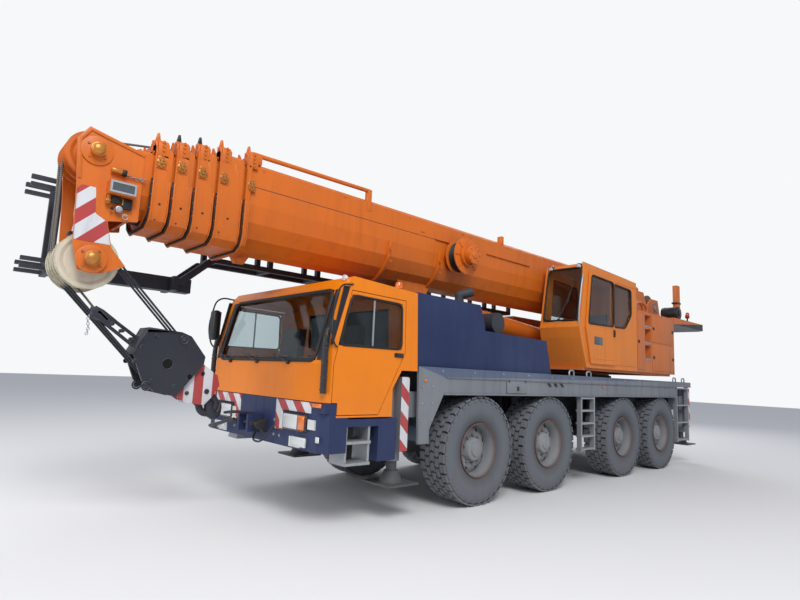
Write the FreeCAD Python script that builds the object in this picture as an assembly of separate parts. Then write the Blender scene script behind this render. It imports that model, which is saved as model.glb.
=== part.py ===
# Four-axle all-terrain mobile crane with a six-piece telescopic boom, stowed for the road.
# Millimetres. +X is the front of the vehicle, +Y its left side, +Z up, the ground is z = 0.
# Lengths along X are measured from axle 1 and moved to the middle of the crane when written.
import FreeCAD, Part
import math
import os

from FreeCAD import Vector

os.makedirs("parts", exist_ok=True)

# Overall sizes
HALF_WIDTH = 1375.0
NOSE_X = 4930.0
TAIL_X = -8600.0
ORIGIN_X = (NOSE_X + TAIL_X) / 2
AXLE_X = (0.0, -1650.0, -4090.0, -5740.0)

# Wheels and steering
TYRE_R = 695.0
TYRE_WIDTH = 430.0
TYRE_SIDE_GAP = 15.0
RIM_R = 330.0
RIM_FLANGE_R = 352.0
RIM_WALL = 14.0
LUG_DEPTH = 22.0
LUG_COUNT = 28
DISC_INSET = 150.0
DISC_THICK = 22.0
HUB_R = 150.0
HUB_DEPTH = 90.0
HUB_CAP_R = 118.0
SPINDLE_R = 60.0
RUNNING_GAP = 0.06
KINGPIN_INSET = 375.0
KINGPIN_Y = HALF_WIDTH - KINGPIN_INSET
KINGPIN_R = 32.0
KNUCKLE_HALF_H = 140.0
EYE_HALF_H = 100.0
EYE_R = 74.0
BEAM_R = 92.0
FLANGE_X = 225.0

# Frame and deck
FRAME_HALF_W = 420.0
FRAME_Z0 = 980.0
STRUT_Y = FRAME_HALF_W + 140.0
HOOD_HALF_W = HALF_WIDTH - 85.0
HOOD_WALL = 15.0
LADDER_Y = HALF_WIDTH - 50.0
DECK_Z = 1733.0
DECK_THICK = 60.0
RAIL_Z0 = 1622.0
DECK_REAR_X = -7310.0
DECK_FRONT_X = 1190.0
SKIRT_Z0 = 1400.0
SKIRT_THICK = 30.0
SKIRT_FRONT_X = 755.0
SKIRT_REAR_X = -6480.0

# Outriggers
JACK_INSET = 235.0
JACK_Y = HALF_WIDTH - JACK_INSET
JACK_R = 88.0
JACK_ROD_R = 62.0
JACK_SPACE = 110.0
JACK_TOP_Z = 1580.0
JACK_BOTTOM_Z = 640.0
PAD_Z = 380.0
PAD_SIDE = 460.0
PAD_CONE_R = 140.0
BEAM_W = 190.0
BEAM_H = 300.0
BEAM_Z = 1130.0
BEAM_GAP = 6.0
BEAM_BOX_Y = HALF_WIDTH - 365.0
BEAM_BACK_Y = HALF_WIDTH - 135.0
BOX_WALL = 14.0
OUTRIGGER_X = (1250.0, -7190.0)

# Driving cab
CAB_HALF_W = HALF_WIDTH
CAB_WALL = 45.0
CAB_BOTTOM_Z = 1158.0
BUMPER_TOP_X = 2350.0
BUMPER_TOP_Z = 1300.0
DOOR_GAP = 8.0
GLASS_THICK = 6.0
GLASS_INSET = 18.0
SCREEN_INSET = 225.0
REAR_WINDOW_INSET = 475.0
DOOR_FRONT_X = 2420.0
HINGE_X = DOOR_FRONT_X - 20.0
HINGE_Y = CAB_HALF_W - 6.0
HINGE_R = 6.0
HINGE_LENGTH = 70.0
HINGE_Z = (1330.0, 1600.0)
SEAT_Y = HALF_WIDTH - 735.0
SEAT_HALF_W = 240.0
DASH_SPACE = 20.0
TOW_X = 2625.0
TOW_Z = 1000.0
TOW_PIN_R = 21.0
TOW_HALF_W = 130.0
REAR_TOW_X = -7520.0
REAR_TOW_Z = 1080.0

# Superstructure
SLEW_X = -4650.0
SLEW_RING_R = 760.0
TURNTABLE_Z = 1840.0
TURNTABLE_THICK = 45.0
SIDE_PLATE_Y = 470.0
SIDE_PLATE_THICK = 40.0
PLATE_SPACE = 20.0
CABIN_INSET = 75.0
CABIN_Y0 = SIDE_PLATE_Y + SIDE_PLATE_THICK + PLATE_SPACE
CABIN_Y1 = HALF_WIDTH - CABIN_INSET
CABIN_WALL = 40.0
CABIN_SEAT_SPACE = 105.0
CABIN_REAR_X = -4800.0
HOUSING_REAR_X = -6660.0
HOUSING_Z1 = 3100.0
RIGHT_HOUSING_Z1 = 2900.0
HOUSING_Y1 = HALF_WIDTH - 85.0
TURNTABLE_HALF_W = HALF_WIDTH - 125.0
PLATFORM_HALF_W = HALF_WIDTH - 85.0
PLATFORM_TAIL_HALF_W = HALF_WIDTH - 235.0
PLATFORM_Z0 = 2990.0
PLATFORM_Z1 = 3140.0
POST_Y = HALF_WIDTH - 365.0
CABIN_BOTTOM_Z = TURNTABLE_Z + TURNTABLE_THICK
SEAT_GAP = 0.3

# Boom
BOOM_BOTTOM_Z = 2930.0
BOOM_HEIGHT = 1010.0
BOOM_TOP_Z = BOOM_BOTTOM_Z + BOOM_HEIGHT
BOOM_PIVOT_X = -6600.0
BOOM_PIVOT_Z = BOOM_BOTTOM_Z + 570.0
BOOM_REAR_X = -6920.0
BOOM_HALF_W = 420.0
BOOM_WALL = 12.0
BASE_FRONT_X = 3100.0
SECTION_STEP = 26.0
SECTION_REAR_X = -6000.0
LUFF_PIN_R = 60.0
LUFF_BASE_X = -4500.0
LUFF_BASE_Z = 2380.0
LUFF_EYE_X = 200.0
LUFF_EYE_Z = BOOM_BOTTOM_Z - 150.0
BARREL_R = 170.0
ROD_R = 110.0
HEAD_HALF_W = 330.0
HEAD_PLATE = 30.0
TOP_SHEAVE_X = 4560.0
TOP_SHEAVE_Z = 3600.0
TOP_SHEAVE_R = 235.0
LOW_SHEAVE_X = 4500.0
LOW_SHEAVE_Z = 2560.0
LOW_SHEAVE_R = 270.0
GROOVE_DEPTH = 30.0


def box(x0, x1, y0, y1, z0, z1):
    """A block between two corners, given in any order."""
    low = Vector(min(x0, x1), min(y0, y1), min(z0, z1))
    return Part.makeBox(abs(x1 - x0), abs(y1 - y0), abs(z1 - z0), low)


def face_of(points):
    """A flat face with straight edges through the points."""
    return Part.Face(Part.makePolygon(points + points[:1]))


def side_prism(outline, y0, y1):
    """An outline of (x, z) points, drawn out across the vehicle."""
    face = face_of([Vector(x, min(y0, y1), z) for x, z in outline])
    return face.extrude(Vector(0, abs(y1 - y0), 0))


def plan_prism(outline, z0, z1):
    """An outline of (x, y) points, drawn out upwards."""
    face = face_of([Vector(x, y, z0) for x, y in outline])
    return face.extrude(Vector(0, 0, z1 - z0))


def end_prism(outline, x0, x1):
    """An outline of (y, z) points, drawn out along the vehicle."""
    face = face_of([Vector(x0, y, z) for y, z in outline])
    return face.extrude(Vector(x1 - x0, 0, 0))


def rod_y(x, z, y0, y1, radius):
    """A round bar across the vehicle."""
    return Part.makeCylinder(radius, abs(y1 - y0), Vector(x, min(y0, y1), z), Vector(0, 1, 0))


def rod_z(x, y, z0, z1, radius):
    """An upright round bar."""
    return Part.makeCylinder(radius, abs(z1 - z0), Vector(x, y, min(z0, z1)), Vector(0, 0, 1))


def rod_x(y, z, x0, x1, radius):
    """A round bar along the vehicle."""
    return Part.makeCylinder(radius, abs(x1 - x0), Vector(min(x0, x1), y, z), Vector(1, 0, 0))


def rod_between(start, end, radius):
    """A round bar from one point to another."""
    run = Vector(*end) - Vector(*start)
    return Part.makeCylinder(radius, run.Length, Vector(*start), run)


def fuse(shapes):
    """One solid from several that touch."""
    whole = shapes[0]
    if len(shapes) > 1:
        whole = whole.fuse(shapes[1:])
    return whole.removeSplitter()


def both_sides(shape):
    """A shape and its mirror image across the centre line."""
    return [shape, shape.mirror(Vector(0, 0, 0), Vector(0, 1, 0))]


def write(node, shapes):
    """Write a node's solids, moved so that the crane's middle is at x = 0."""
    solids = []
    for shape in shapes:
        solids.extend(shape.Solids)
    body = solids[0].copy() if len(solids) == 1 else Part.makeCompound(solids)
    body.translate(Vector(-ORIGIN_X, 0, 0))
    body.exportStep("parts/" + node + ".step")


# Wheels, hubs and knuckles

def revolve_about_axle(outline, x, side):
    """Turn (y, radius) points about an axle; y runs outwards from the centre line."""
    points = [Vector(x, side * y, TYRE_R + r) for y, r in outline]
    face = face_of(points)
    return face.revolve(Vector(x, 0, TYRE_R), Vector(0, 1, 0), 360)


def tyre(x, side):
    """A tyre with shoulders and a ring of tread lugs."""
    outer = HALF_WIDTH - TYRE_SIDE_GAP
    inner = outer - TYRE_WIDTH
    carcass_r = TYRE_R - LUG_DEPTH
    outline = [
        (inner + 26, RIM_R), (inner + 26, RIM_FLANGE_R + 1),
        (inner, 430), (inner, 590), (inner + 35, carcass_r),
        (outer - 35, carcass_r), (outer, 590), (outer, 430),
        (outer - 26, RIM_FLANGE_R + 1), (outer - 26, RIM_R),
    ]
    body = revolve_about_axle(outline, x, side)
    lug_z0 = TYRE_R + carcass_r - 20
    lug = box(x - 52, x + 52, side * (inner + 12), side * (outer - 12), lug_z0, 2 * TYRE_R)
    crown = rod_y(x, TYRE_R, side * inner, side * outer, TYRE_R)
    lug = lug.common(crown)
    lugs = []
    for index in range(LUG_COUNT):
        turned = lug.copy()
        turned.rotate(Vector(x, 0, TYRE_R), Vector(0, 1, 0), 360.0 * index / LUG_COUNT)
        lugs.append(turned)
    return body.fuse(lugs)


def rim(x, side):
    """A dished disc wheel with its hub, hand holes and hub cap."""
    outer = HALF_WIDTH - TYRE_SIDE_GAP
    inner = outer - TYRE_WIDTH
    disc = outer - DISC_INSET
    outline = [
        (inner + 6, RIM_R - RIM_WALL), (inner + 6, RIM_FLANGE_R), (inner + 25.7, RIM_FLANGE_R),
        (inner + 25.7, RIM_R - SEAT_GAP), (outer - 25.7, RIM_R - SEAT_GAP),
        (outer - 25.7, RIM_FLANGE_R), (outer - 6, RIM_FLANGE_R), (outer - 6, RIM_R - RIM_WALL),
        (disc + 30, RIM_R - RIM_WALL), (disc, RIM_R - 60), (disc, HUB_CAP_R + 30),
        (disc + 60, HUB_CAP_R), (disc + 115, HUB_CAP_R - 20), (disc + 120, 0),
        (disc + 20, 0), (disc + 20, SPINDLE_R + RUNNING_GAP),
        (disc - HUB_DEPTH, SPINDLE_R + RUNNING_GAP), (disc - HUB_DEPTH, HUB_R - 30),
        (disc - DISC_THICK, HUB_R),
        (disc - DISC_THICK, RIM_R - 50), (disc + 8, RIM_R - RIM_WALL),
    ]
    body = revolve_about_axle(outline, x, side)
    holes = []
    for index in range(8):
        angle = math.radians(22.5 + 45 * index)
        hx = x + 222 * math.cos(angle)
        hz = TYRE_R + 222 * math.sin(angle)
        holes.append(rod_y(hx, hz, side * (disc - 60), side * (disc + 40), 26))
    return body.cut(holes)


def knuckle(x, side):
    """A fork that turns about its kingpin and carries the wheel's spindle."""
    ears = []
    for z0 in (TYRE_R - KNUCKLE_HALF_H, TYRE_R + EYE_HALF_H + 4):
        z1 = z0 + KNUCKLE_HALF_H - EYE_HALF_H - 4
        ears.append(rod_z(x, side * KINGPIN_Y, z0, z1, 66))
        ears.append(box(x - 60, x + 60, side * KINGPIN_Y, side * (KINGPIN_Y + 90), z0, z1))
    upright = box(
        x - 80, x + 80, side * (KINGPIN_Y + 82), side * (KINGPIN_Y + 112),
        TYRE_R - KNUCKLE_HALF_H, TYRE_R + KNUCKLE_HALF_H,
    )
    disc = HALF_WIDTH - TYRE_SIDE_GAP - DISC_INSET
    spindle = rod_y(x, TYRE_R, side * (KINGPIN_Y + 90), side * (disc + 10), SPINDLE_R)
    low = TYRE_R - KNUCKLE_HALF_H
    kingpin = rod_z(x, side * KINGPIN_Y, low, TYRE_R + KNUCKLE_HALF_H, KINGPIN_R)
    return fuse(ears + [upright, spindle, kingpin])


def axle(x):
    """A beam with an eye at each end, its diff housing and two suspension struts."""
    pieces = [rod_y(x, TYRE_R, -KINGPIN_Y + 40, KINGPIN_Y - 40, BEAM_R)]
    pieces.append(Part.makeSphere(210, Vector(x, 0, TYRE_R)))
    pieces.append(rod_x(0, TYRE_R, x - FLANGE_X, x + FLANGE_X, 70))
    for side in (-1, 1):
        low = TYRE_R - EYE_HALF_H
        pieces.append(rod_z(x, side * KINGPIN_Y, low, TYRE_R + EYE_HALF_H, EYE_R))
        pieces.append(rod_z(x, side * STRUT_Y, TYRE_R, SKIRT_Z0, 55))
        pieces.append(rod_z(x, side * STRUT_Y, TYRE_R + 260, SKIRT_Z0, 82))
        far = side * (STRUT_Y + 80)
        pieces.append(box(x - 90, x + 90, side * FRAME_HALF_W, far, SKIRT_Z0 - 60, SKIRT_Z0))
    bores = both_sides(rod_z(x, KINGPIN_Y, 0, 2 * TYRE_R, KINGPIN_R + RUNNING_GAP))
    return fuse(pieces).cut(bores)


for number, axle_x in enumerate(AXLE_X, start=1):
    for side_name, side_sign in (("left", 1), ("right", -1)):
        tag = str(number) + "_" + side_name
        write("wheel_" + tag, [tyre(axle_x, side_sign), rim(axle_x, side_sign)])
        write("knuckle_" + tag, [knuckle(axle_x, side_sign)])
write("axles", [axle(x) for x in AXLE_X])


# Frame, driveline and deck

def lane_x(x, side):
    """Where a side's beam lies: the left one ahead in front, and behind at the rear."""
    ahead = side if x > SLEW_X else -side
    return x + ahead * (BEAM_W / 2 + BEAM_GAP)


def outrigger_tube(x):
    """Twin housings across the frame, one for each side's beam."""
    half = BEAM_W + BEAM_GAP * 1.5 + BOX_WALL
    z0 = BEAM_Z - SEAT_GAP - BOX_WALL
    z1 = BEAM_Z + BEAM_H + BEAM_GAP + BOX_WALL
    tube = box(x - half, x + half, -BEAM_BOX_Y, BEAM_BOX_Y, z0, z1)
    for offset in (-1, 1):
        near = x + offset * BEAM_GAP / 2
        far = near + offset * (BEAM_W + BEAM_GAP)
        tube = tube.cut(box(near, far, -HALF_WIDTH, HALF_WIDTH, z0 + BOX_WALL, z1 - BOX_WALL))
    return tube


def carrier_frame():
    """A box girder, its low front end under the cab and both outrigger housings."""
    girder = box(-7400, 1020, -FRAME_HALF_W, FRAME_HALF_W, FRAME_Z0, DECK_Z - DECK_THICK)
    nose = box(1000, 2200, -FRAME_HALF_W, FRAME_HALF_W, 760, CAB_BOTTOM_Z)
    slope = [(1000, FRAME_Z0), (1000, 1400), (1700, 1100), (1700, FRAME_Z0)]
    link = side_prism(slope, -FRAME_HALF_W, FRAME_HALF_W)
    ring = rod_z(SLEW_X, 0, DECK_Z - DECK_THICK, TURNTABLE_Z - 50, SLEW_RING_R)
    body = girder.fuse([nose, link, ring])
    half = BEAM_W + BEAM_GAP * 1.5 + BOX_WALL
    z0 = BEAM_Z - SEAT_GAP - BOX_WALL
    z1 = BEAM_Z + BEAM_H + BEAM_GAP + BOX_WALL
    for x in OUTRIGGER_X:
        body = body.cut(box(x - half, x + half, -HALF_WIDTH, HALF_WIDTH, z0, z1))
    ears = []
    for z in (REAR_TOW_Z - 70, REAR_TOW_Z + 30):
        ear = box(REAR_TOW_X - 120, -7400, -70, 70, z, z + 40)
        ears.append(ear.cut(rod_z(REAR_TOW_X, 0, z - 10, z + 50, TOW_PIN_R)))
    return fuse([body] + [outrigger_tube(x) for x in OUTRIGGER_X] + ears)


def driveline():
    """The engine as one block, the gearbox and the propeller shafts between axles."""
    engine = box(60, 1060, -430, 430, DECK_Z, 2440)
    gearbox = box(-900, -500, -200, 200, 700, FRAME_Z0)
    shafts = []
    for front, rear in ((0, -1650), (-1650, -4090), (-4090, -5740)):
        shafts.append(rod_x(0, TYRE_R, front - FLANGE_X - SEAT_GAP, rear + FLANGE_X + SEAT_GAP, 45))
    return [engine, fuse([gearbox, shafts[0]])] + shafts[1:]


def deck():
    """Deck plate with its side rails, fender skirts, hatch and the sheet before axle 1."""
    plate = box(DECK_REAR_X, DECK_FRONT_X, -HALF_WIDTH, HALF_WIDTH, DECK_Z - DECK_THICK, DECK_Z)
    plate = plate.cut(rod_z(SLEW_X, 0, 0, 3000, SLEW_RING_R + 0.3))
    pieces = [plate]
    guard = [(SKIRT_FRONT_X, SKIRT_Z0), (985, 1000), (985, 834), (991, 834), (991, 1003), (765, SKIRT_Z0)]
    for side in (-1, 1):
        outer = side * HALF_WIDTH
        inner = side * (HALF_WIDTH - SKIRT_THICK)
        pieces.append(box(DECK_REAR_X, DECK_FRONT_X, inner, outer, RAIL_Z0, DECK_Z))
        skirt_y = side * (HALF_WIDTH - 8)
        pieces.append(box(SKIRT_REAR_X, SKIRT_FRONT_X, inner, skirt_y, SKIRT_Z0, DECK_Z - 10))
        # The sheet before axle 1 ends short of the jack that slides out beside it
        front = min(DECK_FRONT_X, lane_x(OUTRIGGER_X[0], side) - JACK_SPACE)
        sheet = [
            (front, RAIL_Z0 + 10), (SKIRT_FRONT_X, RAIL_Z0 + 10), (SKIRT_FRONT_X, SKIRT_Z0),
            (985, 1000), (985, 834), (front - 25, 834),
        ]
        pieces.append(side_prism(sheet, inner, outer))
        pieces.append(side_prism(guard, side * (HALF_WIDTH - 445), inner))
        pieces.append(box(-980, -526, inner, side * (HALF_WIDTH - 1), SKIRT_Z0 + 8, RAIL_Z0 - 6))
    return fuse(pieces)


def hood():
    """The outer form of the tall hood behind the cab and the lower one behind it."""
    tall = [
        (DECK_FRONT_X - 20, DECK_Z), (1225, 2560), (1180, 2623), (-20, 2610), (-122, 2345),
        (-165, DECK_Z),
    ]
    low = [(-100, DECK_Z), (-100, 2269), (-1640, 2243), (-1777, DECK_Z)]
    return side_prism(tall, -HOOD_HALF_W, HOOD_HALF_W).fuse(side_prism(low, -HOOD_HALF_W, HOOD_HALF_W))


def engine_cover():
    """Both hoods as one shell, open below."""
    low_z = DECK_Z - 1
    tall_in = [(1160, low_z), (1200, 2560), (1170, 2608), (-10, 2595), (-110, 2340), (-150, low_z)]
    low_in = [(-100, low_z), (-100, 2255), (-1630, 2230), (-1760, low_z)]
    half = HOOD_HALF_W - HOOD_WALL
    hollow = side_prism(tall_in, -half, half).fuse(side_prism(low_in, -half, half))
    return hood().cut(hollow)


write("carrier_frame", [carrier_frame()])
write("engine_and_driveline", driveline())
write("deck_and_fenders", [deck()])
write("engine_cover", [engine_cover()])
PIPE_R = 62.0
PIPE_Y = HOOD_HALF_W - 240.0
pipe_bend = Vector(150, PIPE_Y, 2740)
exhaust = fuse([
    rod_z(pipe_bend.x, PIPE_Y, 2580, pipe_bend.z, PIPE_R),
    Part.makeSphere(PIPE_R, pipe_bend),
    rod_between(pipe_bend, pipe_bend + Vector(-130, 130, 60), PIPE_R),
])
FILTER_R = 150.0
filter_y1 = HOOD_HALF_W - 110.0
air_filter = rod_y(-560, 2420, filter_y1 - 480, filter_y1, FILTER_R)
filter_foot = box(-640, -480, filter_y1 - 420, filter_y1 - 60, 2235, 2420)
write("exhaust_and_filter", [exhaust.cut(hood()), fuse([air_filter, filter_foot]).cut(hood())])


# Driving cab

CAB_SIDE = [
    (BUMPER_TOP_X, CAB_BOTTOM_Z), (BUMPER_TOP_X, BUMPER_TOP_Z + 5), (2495, BUMPER_TOP_Z + 5),
    (2505, 1700), (2290, 2560), (2210, 2650), (1260, 2590), (1215, 1672), (1465, 1672),
    (1590, 1470), (1590, CAB_BOTTOM_Z),
]
DOOR_OUTLINE = [
    (DOOR_FRONT_X, 1178), (DOOR_FRONT_X, 1700), (2235, 2500), (1440, 2480), (1420, 1870), (1790, 1178),
]
DOOR_WINDOW = [(2370, 1900), (2225, 2450), (1500, 2430), (1480, 1905)]


def inset(points, amount):
    """The same outline, moved inwards all round."""
    face = face_of([Vector(a, 0, b) for a, b in points])
    ring = face.makeOffset2D(-amount, 2)
    found = [(v.X, v.Z) for v in ring.OuterWire.OrderedVertexes]
    return found


def cab_block(amount):
    """The cab's outer form, made smaller by an amount all round."""
    half = CAB_HALF_W - amount
    block = side_prism(inset(CAB_SIDE, amount) if amount else CAB_SIDE, -half, half)
    front = 2600 - amount
    corner = 120
    plan = [
        (front, -half + corner + 160), (front, half - corner - 160), (2505 - amount, half - corner),
        (2440 - amount, half), (1000, half), (1000, -half), (2440 - amount, -half),
        (2505 - amount, -half + corner),
    ]
    return block.common(plan_prism(plan, 1000, 2800))


def door_block(side, outline, depth=CAB_WALL + 20):
    """A prism through one side of the cab, to a depth inside its skin."""
    return side_prism(outline, side * (CAB_HALF_W - depth), side * (CAB_HALF_W + 20))


def hinge_knuckles(side):
    """The door's two hinge barrels, each on a short leaf."""
    y = side * HINGE_Y
    pieces = []
    for z in HINGE_Z:
        pieces.append(rod_z(HINGE_X, y, z, z + HINGE_LENGTH, HINGE_R))
        pieces.append(box(HINGE_X - 30, HINGE_X, y - 3, y + 3, z, z + HINGE_LENGTH))
    return pieces


def hinge_pockets(side):
    """Room in the shell for the hinge barrels."""
    reach = HINGE_R + 3
    y0 = side * (HINGE_Y - reach)
    y1 = side * (CAB_HALF_W + 5)
    pockets = []
    for z in HINGE_Z:
        pockets.append(box(HINGE_X - 40, HINGE_X + reach, y0, y1, z - 5, z + HINGE_LENGTH + 5))
    return pockets


def cab():
    """The shell, its windows and the two doors with their panes."""
    outer = cab_block(0)
    shell = outer.cut(cab_block(CAB_WALL))
    pane_skin = cab_block(GLASS_INSET).cut(cab_block(GLASS_INSET + GLASS_THICK))
    screen_y = CAB_HALF_W - SCREEN_INSET
    windscreen = box(2150, 2700, -screen_y, screen_y, 1735, 2510)
    rear_y = CAB_HALF_W - REAR_WINDOW_INSET
    rear_window = box(1100, 1400, -rear_y, rear_y, 1950, 2430)
    panes = [pane_skin.common(windscreen), pane_skin.common(rear_window)]
    shell = shell.cut([windscreen, rear_window])
    doors = []
    bumper_room = box(BUMPER_TOP_X - DOOR_GAP, 2600, -HALF_WIDTH, HALF_WIDTH, 1000, BUMPER_TOP_Z + DOOR_GAP)
    for side in (-1, 1):
        shell = shell.cut(door_block(side, DOOR_OUTLINE)).cut(hinge_pockets(side))
        leaf = door_block(side, inset(DOOR_OUTLINE, DOOR_GAP), CAB_WALL).common(outer)
        leaf = leaf.cut(bumper_room)
        window = door_block(side, DOOR_WINDOW)
        doors.append((fuse([leaf.cut(window)] + hinge_knuckles(side)), pane_skin.common(window)))
    return shell, panes, doors


cab_shell, cab_panes, cab_doors = cab()
write("cab_shell", [cab_shell])
write("cab_glass", cab_panes)
for door_name, pair in zip(("right", "left"), cab_doors):
    write("cab_door_" + door_name, [pair[0]])
    write("cab_door_glass_" + door_name, [pair[1]])


def seat(x, y, z, half_w):
    """A sprung seat with a cushion and a back."""
    base_half = 0.6 * half_w
    base = box(x - 160, x + 160, y - base_half, y + base_half, z, z + 250)
    cushion = box(x - 250, x + 250, y - half_w, y + half_w, z + 250, z + 380)
    slope = [(x - 250, z + 300), (x - 130, z + 300), (x - 200, z + 980), (x - 300, z + 980)]
    return fuse([base, cushion, side_prism(slope, y - half_w + 10, y + half_w - 10)])


floor_z = CAB_BOTTOM_Z + CAB_WALL
dash_outline = [
    (2455, 1600), (2455, 1690), (2240, 1720), (2240, 1500), (2300, floor_z), (2420, floor_z),
]
dash_half = CAB_HALF_W - CAB_WALL - DASH_SPACE
dash = side_prism(dash_outline, -dash_half, dash_half).common(cab_block(CAB_WALL + SEAT_GAP))
wheel_centre = Vector(2060, SEAT_Y, 1790)
wheel_ring = Part.makeTorus(215, 16, wheel_centre, Vector(0.4, 0, 1))
column = rod_between((2250, SEAT_Y, 1560), wheel_centre, 30)
spoke = box(1860, 2260, SEAT_Y - 15, SEAT_Y + 15, 1780, 1800)
seats = [seat(1930, SEAT_Y, floor_z, SEAT_HALF_W), seat(1930, -SEAT_Y, floor_z, SEAT_HALF_W)]
write("cab_interior", seats + [fuse([dash, column, spoke, wheel_ring])])

BUMPER_FRONT_X = 2500.0
SIDE_BOX_Y0 = HALF_WIDTH - 375.0
SIDE_BOX_Y1 = HALF_WIDTH - 15.0
bumper = box(2200, BUMPER_FRONT_X, -HALF_WIDTH, HALF_WIDTH, 800, CAB_BOTTOM_Z)
bumper = bumper.fuse(box(BUMPER_TOP_X, BUMPER_FRONT_X, -HALF_WIDTH, HALF_WIDTH, 1100, BUMPER_TOP_Z))
past_front = BUMPER_FRONT_X + 10
corner = [(2420, HALF_WIDTH + 5), (past_front, HALF_WIDTH + 5), (past_front, HALF_WIDTH - 110)]
bumper = bumper.cut(both_sides(plan_prism(corner, 700, 1200)))
tow_ear = box(BUMPER_FRONT_X, TOW_X + 55, 90, TOW_HALF_W, TOW_Z - 100, TOW_Z + 100)
brackets = both_sides(tow_ear.cut(rod_y(TOW_X, TOW_Z, 0, 200, TOW_PIN_R)))
side_box = fuse([
    box(1500, 1760, SIDE_BOX_Y0, SIDE_BOX_Y1, 684, 1140),
    box(1500, 2200, SIDE_BOX_Y0, SIDE_BOX_Y1, 1060, 1140),
    box(1560, 1700, FRAME_HALF_W, SIDE_BOX_Y0 + 10, 1060, 1140),
])
write("front_bumper", [fuse([bumper] + brackets)] + both_sides(side_box))

lamp_rows = (
    # distance in from the side, Z, width, height
    (585.0, 1060.0, 480.0, 150.0),
    (500.0, 870.0, 210.0, 105.0),
    (195.0, 1075.0, 130.0, 100.0),
)
lamps = []
for inward, z, width, height in lamp_rows:
    y0 = HALF_WIDTH - inward - width / 2
    lamp_x = BUMPER_FRONT_X + SEAT_GAP
    lamps.extend(both_sides(box(lamp_x, lamp_x + 15, y0, y0 + width, z - height / 2, z + height / 2)))
write("lamps", lamps)


# Steps and ladders

def ladder(x0, x1, y, z0, z1, treads):
    """Two stiles with treads between them."""
    pieces = [box(x0, x0 + 30, y - 40, y + 40, z0, z1), box(x1 - 30, x1, y - 40, y + 40, z0, z1)]
    for index in range(treads):
        z = z0 + 20 + index * (z1 - z0 - 60) / (treads - 1)
        pieces.append(box(x0, x1, y - 60, y + 40, z, z + 30))
    return fuse(pieces)


LADDER_BOTTOM_Z = 520.0
REAR_LADDER_BOTTOM_Z = (480.0, 560.0)
STEP_Y0 = HALF_WIDTH - 295.0
STEP_Y1 = HALF_WIDTH - 15.0
ladders = both_sides(ladder(-3010, -2560, LADDER_Y, LADDER_BOTTOM_Z, SKIRT_Z0, 5))
ladders.append(ladder(-7180, -6540, LADDER_Y, REAR_LADDER_BOTTOM_Z[0], RAIL_Z0, 4))
ladders.append(ladder(-6930, -6540, -LADDER_Y, REAR_LADDER_BOTTOM_Z[1], RAIL_Z0, 4))
cab_steps = both_sides(fuse([
    box(1860, 1890, STEP_Y0, STEP_Y1 - 20, 660, 1060), box(2165, 2195, STEP_Y0, STEP_Y1 - 20, 660, 1060),
    box(1860, 2195, STEP_Y0, STEP_Y1, 660, 690), box(1860, 2195, STEP_Y0, STEP_Y1, 880, 910),
]))
write("steps_and_ladders", ladders + cab_steps)


# Outriggers

def outrigger_beam(x, side):
    """A beam through the frame, with the jack's outer tube at its end."""
    lane = lane_x(x, side)
    half = BEAM_W / 2
    beam = box(lane - half, lane + half, -side * BEAM_BACK_Y, side * JACK_Y, BEAM_Z, BEAM_Z + BEAM_H)
    jack = rod_z(lane, side * JACK_Y, JACK_BOTTOM_Z, JACK_TOP_Z, JACK_R)
    cover = box(lane - 60, lane + 60, side * (JACK_Y + 60), side * (JACK_Y + 190), 760, JACK_TOP_Z + 20)
    body = fuse([beam, jack, cover])
    return body.cut(rod_z(lane, side * JACK_Y, 0, JACK_TOP_Z - 30, JACK_ROD_R + RUNNING_GAP))


def outrigger_jack(x, side):
    """The jack's rod with its ribbed foot."""
    lane = lane_x(x, side)
    y = side * JACK_Y
    rod = rod_z(lane, y, PAD_Z + 100, JACK_TOP_Z - 60, JACK_ROD_R)
    half = PAD_SIDE / 2
    plate = box(lane - half, lane + half, y - half, y + half, PAD_Z, PAD_Z + 24)
    cone = Part.makeCone(PAD_CONE_R, JACK_ROD_R + 20, 130, Vector(lane, y, PAD_Z + 20))
    return fuse([rod, plate, cone])


for place, outrigger_x in zip(("front", "rear"), OUTRIGGER_X):
    for side_name, side_sign in (("left", 1), ("right", -1)):
        tag = place + "_" + side_name
        write("outrigger_beam_" + tag, [outrigger_beam(outrigger_x, side_sign)])
        write("outrigger_jack_" + tag, [outrigger_jack(outrigger_x, side_sign)])


# Superstructure

SIDE_PLATE = [
    (-3250, TURNTABLE_Z + 40), (-3500, 2560), (-4700, 2700), (-6200, 3800), (-6980, 3800),
    (-7160, 3480), (-7420, 3700), (-7780, 3700), (-7960, 3160), (-8350, 3140), (TAIL_X, PLATFORM_Z0),
    (-7100, 2600), (-6500, TURNTABLE_Z + 40),
]


def slew_frame():
    """Turntable plate and the two side plates that carry boom and cylinder."""
    half = TURNTABLE_HALF_W
    pieces = [box(-6500, -2800, -half, half, TURNTABLE_Z, CABIN_BOTTOM_Z)]
    pieces.append(rod_z(SLEW_X, 0, TURNTABLE_Z - 50 + SEAT_GAP, TURNTABLE_Z + 10, SLEW_RING_R - 40))
    for side in (-1, 1):
        y0 = side * SIDE_PLATE_Y
        y1 = side * (SIDE_PLATE_Y + SIDE_PLATE_THICK)
        pieces.append(side_prism(SIDE_PLATE, y0, y1))
    frame = fuse(pieces)
    holes = [rod_y(BOOM_PIVOT_X, BOOM_PIVOT_Z, -700, 700, LUFF_PIN_R + RUNNING_GAP)]
    frame = frame.cut(holes)
    pin = rod_y(LUFF_BASE_X, LUFF_BASE_Z, -SIDE_PLATE_Y, SIDE_PLATE_Y, LUFF_PIN_R)
    return frame.fuse([pin])


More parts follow.
